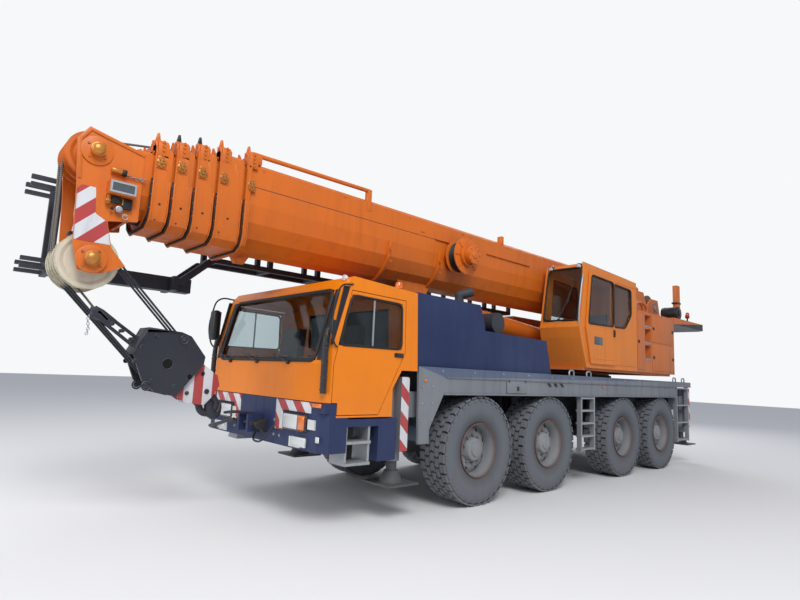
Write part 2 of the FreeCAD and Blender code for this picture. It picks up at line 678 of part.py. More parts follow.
def platform():
    """The rear deck with a post for lamp and filter."""
    half = PLATFORM_HALF_W
    tail = PLATFORM_TAIL_HALF_W
    outline = [
        (-6700, -half), (-8450, -half), (TAIL_X, -tail), (TAIL_X, tail), (-8450, half), (-6700, half),
        (-6700, SIDE_PLATE_Y), (-7080, SIDE_PLATE_Y), (-7080, -SIDE_PLATE_Y), (-6700, -SIDE_PLATE_Y),
    ]
    plate = plan_prism(outline, PLATFORM_Z0, PLATFORM_Z1)
    plate_outer = SIDE_PLATE_Y + SIDE_PLATE_THICK
    slot = box(TAIL_X - 100, -6000, SIDE_PLATE_Y, plate_outer, PLATFORM_Z0 - 10, PLATFORM_Z1 + 10)
    post = box(-7700, -7530, POST_Y - 50, POST_Y + 50, PLATFORM_Z1, 4000)
    return [plate.cut(both_sides(slot)), post]


def cabin_block(amount):
    """The operator's cabin, made smaller by an amount all round."""
    outline = [
        (-2850, CABIN_BOTTOM_Z), (-2660, 2380), (-2610, 2560), (-2640, 2640), (-2828, 3690),
        (CABIN_REAR_X, 3620), (CABIN_REAR_X, CABIN_BOTTOM_Z),
    ]
    shape = inset(outline, amount) if amount else outline
    return side_prism(shape, CABIN_Y0 + amount, CABIN_Y1 - amount)


CABIN_DOOR = [(-2960, 1960), (-2800, 2560), (-2935, 3560), (-3820, 3530), (-3820, 1960)]
CABIN_DOOR_WINDOW = [(-2860, 2640), (-2985, 3500), (-3780, 3470), (-3780, 2660)]
CABIN_SIDE_WINDOW = [(-3860, 2665), (-3860, 3465), (-4560, 3440), (-4560, 2950), (-4300, 2680)]
CABIN_RIGHT_WINDOW = [(-2920, 2700), (-3000, 3500), (-3900, 3450), (-3900, 2700)]
CABIN_DOOR_STANDOFF = 8.0
CABIN_DOOR_THICK = 26.0


def cabin():
    """The shell, its fixed panes and the sliding door with its pane."""
    shell = cabin_block(0).cut(cabin_block(CABIN_WALL))
    skin = cabin_block(14).cut(cabin_block(14 + GLASS_THICK))
    windscreen = box(-2900, -2500, CABIN_Y0 + 50, CABIN_Y1 - 50, 2660, 3640)
    side_window = side_prism(CABIN_SIDE_WINDOW, CABIN_Y1 - 60, CABIN_Y1 + 60)
    right_window = side_prism(CABIN_RIGHT_WINDOW, CABIN_Y0 - 60, CABIN_Y0 + 60)
    cuts = [windscreen, side_window, right_window]
    panes = [skin.common(cut) for cut in cuts]
    doorway = side_prism(inset(CABIN_DOOR, 30), CABIN_Y1 - 60, CABIN_Y1 + 60)
    shell = shell.cut(cuts + [doorway])
    rails = []
    for z in (1970, 3500):
        rails.append(box(-4790, -2990, CABIN_Y1, CABIN_Y1 + CABIN_DOOR_STANDOFF - SEAT_GAP, z, z + 26))
    shell = shell.fuse(rails)
    y0 = CABIN_Y1 + CABIN_DOOR_STANDOFF
    leaf = side_prism(CABIN_DOOR, y0, y0 + CABIN_DOOR_THICK)
    window = side_prism(CABIN_DOOR_WINDOW, CABIN_Y1 - 60, CABIN_Y1 + 90)
    pane = side_prism(CABIN_DOOR_WINDOW, y0 + 10, y0 + 10 + GLASS_THICK)
    return shell, panes, leaf.cut(window), pane


cabin_shell, cabin_panes, cabin_leaf, cabin_pane = cabin()
write("slew_frame", [fuse([slew_frame()] + platform())])
write("operator_cabin", [cabin_shell])
write("cabin_glass", cabin_panes)
write("cabin_door", [cabin_leaf])
write("cabin_door_glass", [cabin_pane])
cabin_floor = CABIN_BOTTOM_Z + CABIN_WALL
cabin_middle = (CABIN_Y0 + CABIN_Y1) / 2
cabin_seat_half = cabin_middle - CABIN_Y0 - CABIN_WALL - CABIN_SEAT_SPACE
write("cabin_seat", [seat(-3650, cabin_middle - 15, cabin_floor, cabin_seat_half)])


def housing():
    """Machinery housings on both sides, the left one with its step slots."""
    left = box(HOUSING_REAR_X, CABIN_REAR_X, CABIN_Y0, HOUSING_Y1, CABIN_BOTTOM_Z, HOUSING_Z1)
    slots = []
    for z0, z1 in ((2130, 2430), (2460, 2760), (2790, 3040)):
        slots.append(box(-5480, -5200, HOUSING_Y1 - 120, HOUSING_Y1 + 10, z0, z1))
    right = box(HOUSING_REAR_X, -3300, -HOUSING_Y1, -CABIN_Y0, CABIN_BOTTOM_Z, RIGHT_HOUSING_Z1)
    return [left.cut(slots), right]


write("machinery_housing", housing())


WINCH_X = -7600.0
WINCH_Z = 3490.0
DRUM_HALF = 330.0
DRUM_R = 250.0
DRUM_FLANGE = 24.0


def winch(x, z):
    """A rope drum on its axle between the side plates."""
    drum = rod_y(x, z, -DRUM_HALF, DRUM_HALF, DRUM_R)
    flange = rod_y(x, z, DRUM_HALF, DRUM_HALF + DRUM_FLANGE, DRUM_R + 80)
    shaft = rod_y(x, z, -SIDE_PLATE_Y, SIDE_PLATE_Y, 70)
    return fuse([drum, shaft] + both_sides(flange))


write("winch", [winch(WINCH_X, WINCH_Z)])


# Boom

SECTION_WALL = 8.0
SIDE_STEP = 21.0
TOP_STEP = 40.0
LOW_STEP = 21.0
FIRST_GAP = 12.0
COLLAR_LIP = 30.0
COLLAR_FRONT = (3100.0, 3410.0, 3640.0, 3850.0, 4050.0)
COLLAR_SPACE = 24.0
BELLY_FACETS = 8
BELLY_Z = BOOM_BOTTOM_Z + 520.0
PAD_HALF = 180.0


def boom_outline(side_in, top_in, low_in):
    """Flat top and sides over a belly bent in facets, as (y, z) points."""
    half = BOOM_HALF_W - side_in
    top = BOOM_TOP_Z - top_in
    depth = BELLY_Z - BOOM_BOTTOM_Z - low_in
    points = [(-half, top - 45), (-half + 45, top), (half - 45, top), (half, top - 45)]
    for index in range(BELLY_FACETS + 1):
        angle = math.pi * index / BELLY_FACETS
        points.append((half * math.cos(angle), BELLY_Z - depth * math.sin(angle)))
    return points


def section_insets(number):
    """Side, top and belly insets of a section's outside; 0 is the base."""
    if number == 0:
        return 0.0, 0.0, 0.0
    first = BOOM_WALL + FIRST_GAP
    return (
        first + (number - 1) * SIDE_STEP,
        first + (number - 1) * TOP_STEP,
        first + (number - 1) * LOW_STEP,
    )


def boom_tube(number, x0, x1, wall):
    """A straight boom section, open at both ends."""
    insets = section_insets(number)
    outer = end_prism(boom_outline(*insets), x0, x1)
    inner = end_prism(boom_outline(*[value + wall for value in insets]), x0 - 10, x1 + 10)
    return outer.cut(inner)


def collar(number, x0, x1, wall):
    """The thick end of a section, with its front flange and top guide."""
    insets = section_insets(number)
    band = end_prism(boom_outline(*[value - COLLAR_LIP for value in insets]), x0, x1)
    flange = end_prism(boom_outline(*[value - COLLAR_LIP - 14 for value in insets]), x1 - 16, x1)
    hole = end_prism(boom_outline(*[value + wall for value in insets]), x0 - 10, x1 + 10)
    top = BOOM_TOP_Z - insets[1] + COLLAR_LIP
    guide = box(x1 - 90, x1 - 16, -150, 150, top - 10, top + 60)
    fins = []
    for y in (-150, 130):
        fin = [(x1 - 70, top + 50), (x1 - 10, top + 50), (x1 - 20, top + 120), (x1 - 34, top + 120)]
        fins.append(side_prism(fin, y, y + 20))
    return fuse([band, flange, guide] + fins).cut(hole)


def wear_pads(number, x1, wall):
    """Top and belly pads inside a section's front end, that the next section slides on."""
    outer = [value + wall - 0.5 for value in section_insets(number)]
    inner = [value - SEAT_GAP for value in section_insets(number + 1)]
    ring = end_prism(boom_outline(*outer), x1 - 60, x1 - 4)
    ring = ring.cut(end_prism(boom_outline(*inner), x1 - 70, x1))
    return ring.common(box(x1 - 80, x1, -PAD_HALF, PAD_HALF, 2000, 5000))


base = fuse([
    boom_tube(0, BOOM_REAR_X, COLLAR_FRONT[0], BOOM_WALL),
    collar(0, COLLAR_FRONT[0] - 60, COLLAR_FRONT[0], BOOM_WALL),
    wear_pads(0, COLLAR_FRONT[0], BOOM_WALL),
])
pin_half = SIDE_PLATE_Y + SIDE_PLATE_THICK + PLATE_SPACE
pivot_pin = rod_y(BOOM_PIVOT_X, BOOM_PIVOT_Z, -pin_half, pin_half, LUFF_PIN_R)
pivot_core = end_prism(boom_outline(BOOM_WALL, BOOM_WALL, BOOM_WALL), BOOM_REAR_X, BOOM_REAR_X + 600)
ears = []
for side_sign in (-1, 1):
    ear = side_prism(
        [(LUFF_EYE_X - 420, 3080), (LUFF_EYE_X + 420, 3080), (LUFF_EYE_X + 110, LUFF_EYE_Z - 100),
         (LUFF_EYE_X - 110, LUFF_EYE_Z - 100)], side_sign * 150, side_sign * 190)
    ears.append(ear.cut(end_prism(boom_outline(4, 4, 4), LUFF_EYE_X - 500, LUFF_EYE_X + 500)))
eye_pin = rod_y(LUFF_EYE_X, LUFF_EYE_Z, -190, 190, LUFF_PIN_R)
write("boom_base", [fuse([base, pivot_pin, pivot_core, eye_pin] + ears)])

for number in range(1, 5):
    rear = SECTION_REAR_X + 60 * number
    front = COLLAR_FRONT[number]
    tube = boom_tube(number, rear, front, SECTION_WALL)
    end = collar(number, COLLAR_FRONT[number - 1] + COLLAR_SPACE, front, SECTION_WALL)
    write("boom_section_" + str(number), [fuse([tube, end, wear_pads(number, front, SECTION_WALL)])])
HEAD_REAR_X = COLLAR_FRONT[4] + COLLAR_SPACE
write("boom_section_5", [boom_tube(5, SECTION_REAR_X + 300, HEAD_REAR_X + 120, SECTION_WALL)])

HEAD_PLATE_OUTLINE = [
    (HEAD_REAR_X + 60, 3700), (4480, 3780), (4640, 3820), (4730, 3680), (4690, 3250), (4660, 2700),
    (4600, 2450), (4400, 2440), (4200, 2540), (4340, 2700), (4400, 2950), (HEAD_REAR_X + 60, 3000),
]


def boom_head():
    """Two side plates joined by cross members, with both sheave shafts."""
    pieces = []
    for side in (-1, 1):
        inner = side * (HEAD_HALF_W - HEAD_PLATE)
        pieces.append(side_prism(HEAD_PLATE_OUTLINE, inner, side * HEAD_HALF_W))
        pieces.append(rod_y(TOP_SHEAVE_X, TOP_SHEAVE_Z, inner, side * (HEAD_HALF_W + 70), 60))
        pieces.append(rod_y(LOW_SHEAVE_X, LOW_SHEAVE_Z, inner, side * (HEAD_HALF_W + 30), 110))
        pieces.append(rod_y(LOW_SHEAVE_X, LOW_SHEAVE_Z, inner, side * (HEAD_HALF_W + 80), 62))
        pieces.append(box(4200, 4440, side * HEAD_HALF_W, side * (HEAD_HALF_W + 110), 3200, 3330))
    half = HEAD_HALF_W - HEAD_PLATE
    pieces.append(box(4200, 4230, -half, half, 3000, 3690))
    pieces.append(box(4230, 4560, -half, half, 3150, 3180))
    pieces.append(box(4540, 4570, -half, half, 2860, 3180))
    body = fuse(pieces)
    insets = section_insets(5)
    return body.cut(end_prism(boom_outline(*insets), HEAD_REAR_X, HEAD_REAR_X + 120))


def sheaves(x, z, radius, rows, pitch, bore):
    """A row of grooved rope sheaves side by side on a shaft."""
    first = -pitch * (rows - 1) / 2
    discs = []
    for index in range(rows):
        y = first + index * pitch
        half = [
            (22, bore), (22, 90), (10, 100), (10, radius - 70), (26, radius - 40), (26, radius),
            (12, radius - GROOVE_DEPTH),
        ]
        outline = [(y - a, r) for a, r in half] + [(y + a, r) for a, r in reversed(half)]
        face = face_of([Vector(x, a, z + r) for a, r in outline])
        discs.append(face.revolve(Vector(x, 0, z), Vector(0, 1, 0), 360))
    return discs


head = boom_head()
top_shaft = rod_y(TOP_SHEAVE_X, TOP_SHEAVE_Z, -300, 300, 50)
low_shaft = rod_y(LOW_SHEAVE_X, LOW_SHEAVE_Z, -300, 300, 50)
write("boom_head", [fuse([head, top_shaft, low_shaft])])
write("sheaves", sheaves(TOP_SHEAVE_X, TOP_SHEAVE_Z, TOP_SHEAVE_R, 3, 150, 50.2)
      + sheaves(LOW_SHEAVE_X, LOW_SHEAVE_Z, LOW_SHEAVE_R, 5, 100, 50.2))

# Luffing cylinder

LUFF_RUN = Vector(LUFF_EYE_X - LUFF_BASE_X, 0, LUFF_EYE_Z - LUFF_BASE_Z)
LUFF_LENGTH = LUFF_RUN.Length
LUFF_ANGLE = math.degrees(math.atan2(LUFF_RUN.z, LUFF_RUN.x))
BARREL_END = 3600.0
EYE_HALF = 130.0
EYE_OUTER_R = 120.0


def along_cylinder(shape):
    """Turn a shape drawn from the origin along +X into the cylinder's place."""
    shape = shape.copy()
    shape.rotate(Vector(0, 0, 0), Vector(0, 1, 0), -LUFF_ANGLE)
    shape.translate(Vector(LUFF_BASE_X, 0, LUFF_BASE_Z))
    return shape


barrel = fuse([
    rod_x(0, 0, 90, BARREL_END, BARREL_R),
    rod_x(0, 0, BARREL_END - 120, BARREL_END, BARREL_R + 8),
    rod_y(0, 0, -EYE_HALF, EYE_HALF, EYE_OUTER_R),
])
barrel = barrel.cut([
    rod_x(0, 0, 300, BARREL_END + 10, ROD_R + RUNNING_GAP),
    rod_y(0, 0, -400, 400, LUFF_PIN_R + RUNNING_GAP),
])
rod = fuse([
    rod_x(0, 0, 340, LUFF_LENGTH - 90, ROD_R),
    rod_y(LUFF_LENGTH, 0, -EYE_HALF, EYE_HALF, EYE_OUTER_R),
])
rod = rod.cut([rod_y(LUFF_LENGTH, 0, -400, 400, LUFF_PIN_R + RUNNING_GAP)])
write("luffing_barrel", [along_cylinder(barrel)])
write("luffing_rod", [along_cylinder(rod)])

# Hook block

BLOCK_OUTLINE = [
    (3860, 1990), (3520, 1965), (3420, 1930), (3250, 1720), (3260, 1640), (3530, 1290), (3750, 1340),
    (3880, 1450), (3990, 1720),
]
BLOCK_HALF_W = 150.0
BLOCK_SHEAVE_X = 3620.0
BLOCK_SHEAVE_Z = 1650.0
ROPE_R = 11.0
FALL_Y = (-100.0, 0.0, 100.0)


def rope_falls():
    """Straight rope runs from the grooves of the low sheaves down to the block."""
    run = Vector(BLOCK_SHEAVE_X - LOW_SHEAVE_X, 0, BLOCK_SHEAVE_Z - LOW_SHEAVE_Z)
    run.normalize()
    reach = LOW_SHEAVE_R - GROOVE_DEPTH + SEAT_GAP + ROPE_R
    falls = []
    for sign in (-1, 1):
        offset = Vector(-run.z, 0, run.x) * (sign * reach)
        for y in FALL_Y:
            start = Vector(LOW_SHEAVE_X, y, LOW_SHEAVE_Z) + offset
            end = Vector(BLOCK_SHEAVE_X, y, BLOCK_SHEAVE_Z) + offset
            falls.append(rod_between(start, end, ROPE_R))
    return falls


def hook_block():
    """Two cheek plates round the sheaves, the hook and the rope falls to the head."""
    pieces = []
    for side in (-1, 1):
        pieces.append(side_prism(BLOCK_OUTLINE, side * BLOCK_HALF_W, side * (BLOCK_HALF_W - 30)))
    drum_r = LOW_SHEAVE_R - GROOVE_DEPTH + ROPE_R
    pieces.append(rod_y(BLOCK_SHEAVE_X, BLOCK_SHEAVE_Z, -BLOCK_HALF_W + 10, BLOCK_HALF_W - 10, drum_r))
    pieces.append(box(3240, 3420, -70, 70, 1250, 1560))
    pieces.append(side_prism([(3180, 1250), (3420, 1250), (3300, 1420)], -60, 60))
    hook = Part.makeTorus(95, 38, Vector(3120, 0, 1200), Vector(0, 1, 0))
    pieces.append(hook)
    pieces.append(rod_between((3215, 0, 1200), (3350, 0, 1350), 40))
    return fuse(pieces + rope_falls())


write("hook_block", [hook_block()])

# Folding jib

JIB_Y = (-BOOM_HALF_W - 590.0, -BOOM_HALF_W - 220.0)
JIB_TOP_Z = 3480.0
JIB_LOW_Z = 2950.0
JIB_NOSE_Z = 2590.0
JIB_REAR_X = -3300.0
JIB_STEP_X = 2950.0
JIB_FRONT_X = 4700.0
JIB_BAYS = 8
JIB_TUBE = 64.0
NOSE_TUBE = 170.0


def folding_jib():
    """A braced frame of square tubes, with a deeper nose, carried along the boom's right side."""
    half = JIB_TUBE / 2
    pieces = []
    pitch = (JIB_STEP_X - JIB_REAR_X) / JIB_BAYS
    for y in JIB_Y:
        pieces.append(box(JIB_REAR_X, JIB_FRONT_X, y - half, y + half, JIB_TOP_Z - half, JIB_TOP_Z + half))
        pieces.append(box(JIB_REAR_X, JIB_STEP_X, y - half, y + half, JIB_LOW_Z - half, JIB_LOW_Z + half))
        for index in range(JIB_BAYS + 1):
            x = JIB_REAR_X + half + index * (pitch - JIB_TUBE / JIB_BAYS)
            pieces.append(box(x - half, x + half, y - half, y + half, JIB_LOW_Z, JIB_TOP_Z))
        slope = [(JIB_STEP_X - 60, JIB_LOW_Z), (JIB_STEP_X + 60, JIB_LOW_Z), (JIB_STEP_X + 460, JIB_NOSE_Z),
                 (JIB_STEP_X + 340, JIB_NOSE_Z)]
        pieces.append(side_prism(slope, y - half, y + half))
        pieces.append(box(JIB_FRONT_X - 60, JIB_FRONT_X, y - half, y + half, JIB_NOSE_Z, JIB_TOP_Z))
        for z in (JIB_NOSE_Z - 60, JIB_NOSE_Z + 20, JIB_TOP_Z - 90, JIB_TOP_Z - 10):
            pieces.append(box(JIB_FRONT_X - 10, NOSE_X, y - 30, y + 30, z, z + 40))
    low = JIB_NOSE_Z - NOSE_TUBE / 2
    middle = sum(JIB_Y) / 2
    pieces.append(box(JIB_STEP_X + 200, JIB_FRONT_X, middle - 85, middle + 85, low, low + NOSE_TUBE))
    for x in (JIB_STEP_X + 400, JIB_FRONT_X - 60):
        pieces.append(box(x, x + 60, JIB_Y[0] - half, JIB_Y[1] + half, low, low + NOSE_TUBE))
    for z in (JIB_LOW_Z, JIB_TOP_Z):
        for index in range(JIB_BAYS + 1):
            x = JIB_REAR_X + half + index * (pitch - JIB_TUBE / JIB_BAYS)
            pieces.append(box(x - half, x + half, JIB_Y[0], JIB_Y[1], z - half, z + half))
    for x in (-1500.0, 1800.0):
        pieces.append(box(x - 60, x + 60, JIB_Y[1], -BOOM_HALF_W - 0.3, JIB_TOP_Z - 30, JIB_TOP_Z + 30))
    return fuse(pieces)


write("folding_jib", [folding_jib()])
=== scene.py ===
# %% [markdown]
# # A four-axle mobile crane, stowed for the road
# The solids come from CAD with their joints. This lesson dresses them: it sets the camera and a plain
# studio, mixes weathered paints, rubber, glass and steel, and models the tyres, trims, ropes and fittings
# that make the machine look real. Nearly every piece rides a CAD body, so the crane can still move.

import math
import bmesh
import bpy
from mathutils import Matrix, Vector


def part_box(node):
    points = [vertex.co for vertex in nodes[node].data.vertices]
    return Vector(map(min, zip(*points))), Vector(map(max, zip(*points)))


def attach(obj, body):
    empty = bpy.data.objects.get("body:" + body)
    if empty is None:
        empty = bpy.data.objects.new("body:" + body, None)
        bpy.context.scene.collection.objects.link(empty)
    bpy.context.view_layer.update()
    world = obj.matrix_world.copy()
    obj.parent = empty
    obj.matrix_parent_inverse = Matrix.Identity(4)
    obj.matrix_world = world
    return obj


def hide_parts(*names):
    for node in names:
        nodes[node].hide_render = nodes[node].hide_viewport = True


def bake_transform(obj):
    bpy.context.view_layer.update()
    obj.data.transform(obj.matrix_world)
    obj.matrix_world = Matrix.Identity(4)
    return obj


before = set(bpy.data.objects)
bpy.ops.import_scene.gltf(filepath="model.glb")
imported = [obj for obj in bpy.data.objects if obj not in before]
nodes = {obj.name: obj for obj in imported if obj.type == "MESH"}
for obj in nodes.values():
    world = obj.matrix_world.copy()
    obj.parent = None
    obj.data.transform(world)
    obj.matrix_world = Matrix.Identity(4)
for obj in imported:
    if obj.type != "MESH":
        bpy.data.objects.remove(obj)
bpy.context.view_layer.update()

# %% [markdown]
# The sizes in this script count millimetres from the first axle, while Blender counts metres from the
# middle of the machine. One small function keeps every size in the script readable as a workshop size.

# %% Workshop millimetres to Blender metres
AXLE_1 = (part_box("wheel_1_left")[0][0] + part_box("wheel_1_left")[1][0]) / 2
MM = 0.001


def spot(x, y, z):
    """A place in millimetres from axle 1, the centre line and the ground."""
    return Vector((x * MM + AXLE_1, y * MM, z * MM))


# %% [markdown]
# The photograph was taken by a person standing ahead of the crane on its left, with a wide lens tilted a
# little up and not quite level. A camera is placed by three directions: where it looks, what is right of
# it and what is up. That is exact, where turning it by hand would take many tries.

# %% Camera at the photograph's angle
PHOTO_WIDTH = 800.0
FOCAL_PX = 535.03
yaw, pitch, roll = math.radians(47.853), math.radians(7.893), math.radians(2.604)
look = Vector((-math.cos(yaw) * math.cos(pitch), -math.sin(yaw) * math.cos(pitch), math.sin(pitch)))
level_right = look.cross(Vector((0, 0, 1))).normalized()
level_up = level_right.cross(look)
right = math.cos(roll) * level_right + math.sin(roll) * level_up
up = -math.sin(roll) * level_right + math.cos(roll) * level_up

lens = bpy.data.cameras.new("photo_camera")
lens.sensor_width = 36.0
lens.lens = lens.sensor_width * FOCAL_PX / PHOTO_WIDTH
lens.clip_end = 200.0
camera = bpy.data.objects.new("photo_camera", lens)
bpy.context.scene.collection.objects.link(camera)
turn = Matrix((right, up, -look)).transposed().to_4x4()
camera.matrix_world = Matrix.Translation(spot(5642, 5904, 1629)) @ turn
bpy.context.scene.camera = camera
print("lens", round(lens.lens, 2), "mm")

# %% [markdown]
# The studio is one pale floor that runs out to a white surround, a broad soft key light from the
# photographer's left and weaker ones that open the shadows. The surround is white only for the camera
# and for reflections, so that it doesn't add light to the crane.

# %% Floor, surround and soft lights
def link_nodes(tree, source, target):
    tree.links.new(source, target)


floor_form = bmesh.new()
bmesh.ops.create_grid(floor_form, x_segments=8, y_segments=8, size=60.0)
floor_mesh = bpy.data.meshes.new("studio_floor")
floor_form.to_mesh(floor_mesh)
floor_form.free()
floor = bpy.data.objects.new("studio_floor", floor_mesh)
floor.location.z = -0.001
bpy.context.scene.collection.objects.link(floor)
floor_paint = bpy.data.materials.new("studio_floor")
floor_paint.use_nodes = True
floor_paint.node_tree.nodes["Principled BSDF"].inputs["Base Color"].default_value = (0.74, 0.74, 0.74, 1.0)
floor_paint.node_tree.nodes["Principled BSDF"].inputs["Roughness"].default_value = 0.9
floor_paint.node_tree.nodes["Principled BSDF"].inputs["Specular IOR Level"].default_value = 0.1
floor_mesh.materials.append(floor_paint)

world = bpy.data.worlds.new("studio")
bpy.context.scene.world = world
world.use_nodes = True
tree = world.node_tree
tree.nodes.clear()
sky_out = tree.nodes.new("ShaderNodeOutputWorld")
fill = tree.nodes.new("ShaderNodeBackground")
fill.inputs["Color"].default_value = (0.86, 0.90, 1.0, 1.0)
fill.inputs["Strength"].default_value = 0.55
shown = tree.nodes.new("ShaderNodeBackground")
shown.inputs["Color"].default_value = (0.93, 0.94, 0.95, 1.0)
shown.inputs["Strength"].default_value = 1.0
rays = tree.nodes.new("ShaderNodeLightPath")
seen = tree.nodes.new("ShaderNodeMath")
seen.operation = "MAXIMUM"
link_nodes(tree, rays.outputs["Is Camera Ray"], seen.inputs[0])
link_nodes(tree, rays.outputs["Is Transmission Ray"], seen.inputs[1])
choose = tree.nodes.new("ShaderNodeMixShader")
link_nodes(tree, seen.outputs[0], choose.inputs["Fac"])
link_nodes(tree, fill.outputs[0], choose.inputs[1])
link_nodes(tree, shown.outputs[0], choose.inputs[2])
link_nodes(tree, choose.outputs[0], sky_out.inputs["Surface"])


def soft_light(name, place, target, size, watts):
    """A square soft light that faces a point on the crane."""
    lamp = bpy.data.lights.new(name, "AREA")
    lamp.shape = "SQUARE"
    lamp.size = size
    lamp.energy = watts
    holder = bpy.data.objects.new(name, lamp)
    holder.location = place
    holder.rotation_euler = (Vector(target) - Vector(place)).to_track_quat("-Z", "Y").to_euler()
    bpy.context.scene.collection.objects.link(holder)
    return holder


soft_light("key", (9.0, 11.0, 13.0), (0.5, 0.0, 1.8), 7.0, 2000.0)
soft_light("front_fill", (15.0, -3.0, 6.0), (1.0, 0.0, 1.8), 8.0, 640.0)
soft_light("back_fill", (-12.0, -8.0, 9.0), (0.0, 0.0, 1.8), 9.0, 780.0)
bpy.context.scene.view_settings.view_transform = "Standard"

# %% [markdown]
# ## Finishes
# Old machine paint isn't one colour. Sun fades it, rain draws streaks down it, road dust settles low on
# it, stones chip it and hands and chains wear its edges. One node group works out these masks from the
# place on the crane, and each
# paint then mixes its own colours with them. A texture photograph would also work, but noise stays
# sharp at every distance and needs no unwrapping.

# %% Weathering masks, shared by every finish
def photo_colour(red, green, blue):
    """A colour as read off a photograph, 0 to 255, made linear for the shader."""
    made = []
    for part in (red, green, blue):
        part = part / 255.0
        made.append(part / 12.92 if part <= 0.04045 else ((part + 0.055) / 1.055) ** 2.4)
    return (made[0], made[1], made[2], 1.0)


def add_node(tree, kind, **settings):
    node = tree.nodes.new(kind)
    for name, value in settings.items():
        setattr(node, name, value)
    return node


def start_group(name, inputs, outputs):
    """A shader node group with named number inputs and number outputs."""
    group = bpy.data.node_groups.new(name, "ShaderNodeTree")
    for label, value in inputs:
        socket = group.interface.new_socket(name=label, in_out="INPUT", socket_type="NodeSocketFloat")
        socket.default_value = value
    for label in outputs:
        group.interface.new_socket(name=label, in_out="OUTPUT", socket_type="NodeSocketFloat")
    return group, group.nodes.new("NodeGroupInput"), group.nodes.new("NodeGroupOutput")


def noise_at(tree, source, scale, detail, stretch=(1, 1, 1), rough=0.55):
    """A noise read at a place, stretched along some of its axes."""
    moved = add_node(tree, "ShaderNodeMapping")
    moved.inputs["Scale"].default_value = stretch
    link_nodes(tree, source, moved.inputs["Vector"])
    noise = add_node(tree, "ShaderNodeTexNoise")
    noise.inputs["Scale"].default_value = scale
    noise.inputs["Detail"].default_value = detail
    noise.inputs["Roughness"].default_value = rough
    link_nodes(tree, moved.outputs["Vector"], noise.inputs["Vector"])
    return noise.outputs["Fac"]


def remap(tree, value, low, high, to_low=0.0, to_high=1.0):
    """A number moved from one range to another and held inside it."""
    node = add_node(tree, "ShaderNodeMapRange", clamp=True)
    for label, given in (("Value", value), ("From Min", low), ("From Max", high), ("To Min", to_low), ("To Max", to_high)):
        if isinstance(given, (int, float)):
            node.inputs[label].default_value = given
        else:
            link_nodes(tree, given, node.inputs[label])
    return node.outputs["Result"]


def combine(tree, operation, first, second=None):
    """One step of arithmetic on numbers or sockets."""
    node = add_node(tree, "ShaderNodeMath", operation=operation)
    for index, given in enumerate((first, second)):
        if given is None:
            continue
        if isinstance(given, (int, float)):
            node.inputs[index].default_value = given
        else:
            link_nodes(tree, given, node.inputs[index])
    return node.outputs[0]


weather, w_in, w_out = start_group(
    "crane_weather",
    (("Chips", 0.1), ("Streaks", 0.3), ("Dust", 0.4), ("Dust Top", 1.4), ("Edges", 0.4)),
    ("Chips", "Streaks", "Dust", "Fade", "Grain", "Worn Edges"),
)
where = add_node(weather, "ShaderNodeTexCoord").outputs["Object"]
coarse = noise_at(weather, where, 0.9, 4)
patches = noise_at(weather, where, 14.0, 6, rough=0.7)
runs = noise_at(weather, where, 9.0, 3, stretch=(1, 1, 0.09))
grain = noise_at(weather, where, 260.0, 2)
height = add_node(weather, "ShaderNodeSeparateXYZ")
link_nodes(weather, where, height.inputs[0])
chip_edge = combine(weather, "SUBTRACT", 0.82, combine(weather, "MULTIPLY", w_in.outputs["Chips"], 0.30))
chips = remap(weather, patches, chip_edge, combine(weather, "ADD", chip_edge, 0.03))
streaks = combine(weather, "MULTIPLY", remap(weather, runs, 0.48, 0.70), w_in.outputs["Streaks"])
low = remap(weather, height.outputs["Z"], w_in.outputs["Dust Top"], 0.1)
cloud = remap(weather, coarse, 0.25, 0.75, 0.5, 1.0)
fine_dust = remap(weather, patches, 0.3, 0.7, 0.7, 1.0)
dust = combine(weather, "MULTIPLY", combine(weather, "MULTIPLY", low, cloud), w_in.outputs["Dust"])
dust = combine(weather, "MULTIPLY", dust, fine_dust)
softened = add_node(weather, "ShaderNodeBevel", samples=4)
softened.inputs["Radius"].default_value = 0.008
facing = add_node(weather, "ShaderNodeVectorMath", operation="DOT_PRODUCT")
link_nodes(weather, softened.outputs["Normal"], facing.inputs[0])
link_nodes(weather, add_node(weather, "ShaderNodeNewGeometry").outputs["Normal"], facing.inputs[1])
worn = remap(weather, facing.outputs["Value"], 0.985, 0.88)
worn = combine(weather, "MULTIPLY", worn, remap(weather, patches, 0.42, 0.58))
worn = combine(weather, "MULTIPLY", worn, w_in.outputs["Edges"])
link_nodes(weather, worn, w_out.inputs["Worn Edges"])
link_nodes(weather, chips, w_out.inputs["Chips"])
link_nodes(weather, streaks, w_out.inputs["Streaks"])
link_nodes(weather, dust, w_out.inputs["Dust"])
link_nodes(weather, coarse, w_out.inputs["Fade"])
link_nodes(weather, grain, w_out.inputs["Grain"])
print("weather group:", len(weather.nodes), "nodes")

# %% [markdown]
# A paint is then a Principled shader whose colour passes through five mixes: fresh to faded, then
# streaks, dust, chips and worn edges. Dusty and streaked parts are also rougher, which is what makes old paint look
# old.

# %% Paints
DUST_GREY = photo_colour(128, 126, 122)


def mix_colour(tree, mask, first, second):
    node = add_node(tree, "ShaderNodeMix", data_type="RGBA")
    link_nodes(tree, mask, node.inputs["Factor"])
    for label, given in ((6, first), (7, second)):
        if isinstance(given, tuple):
            node.inputs[label].default_value = given
        else:
            link_nodes(tree, given, node.inputs[label])
    return node.outputs[2]


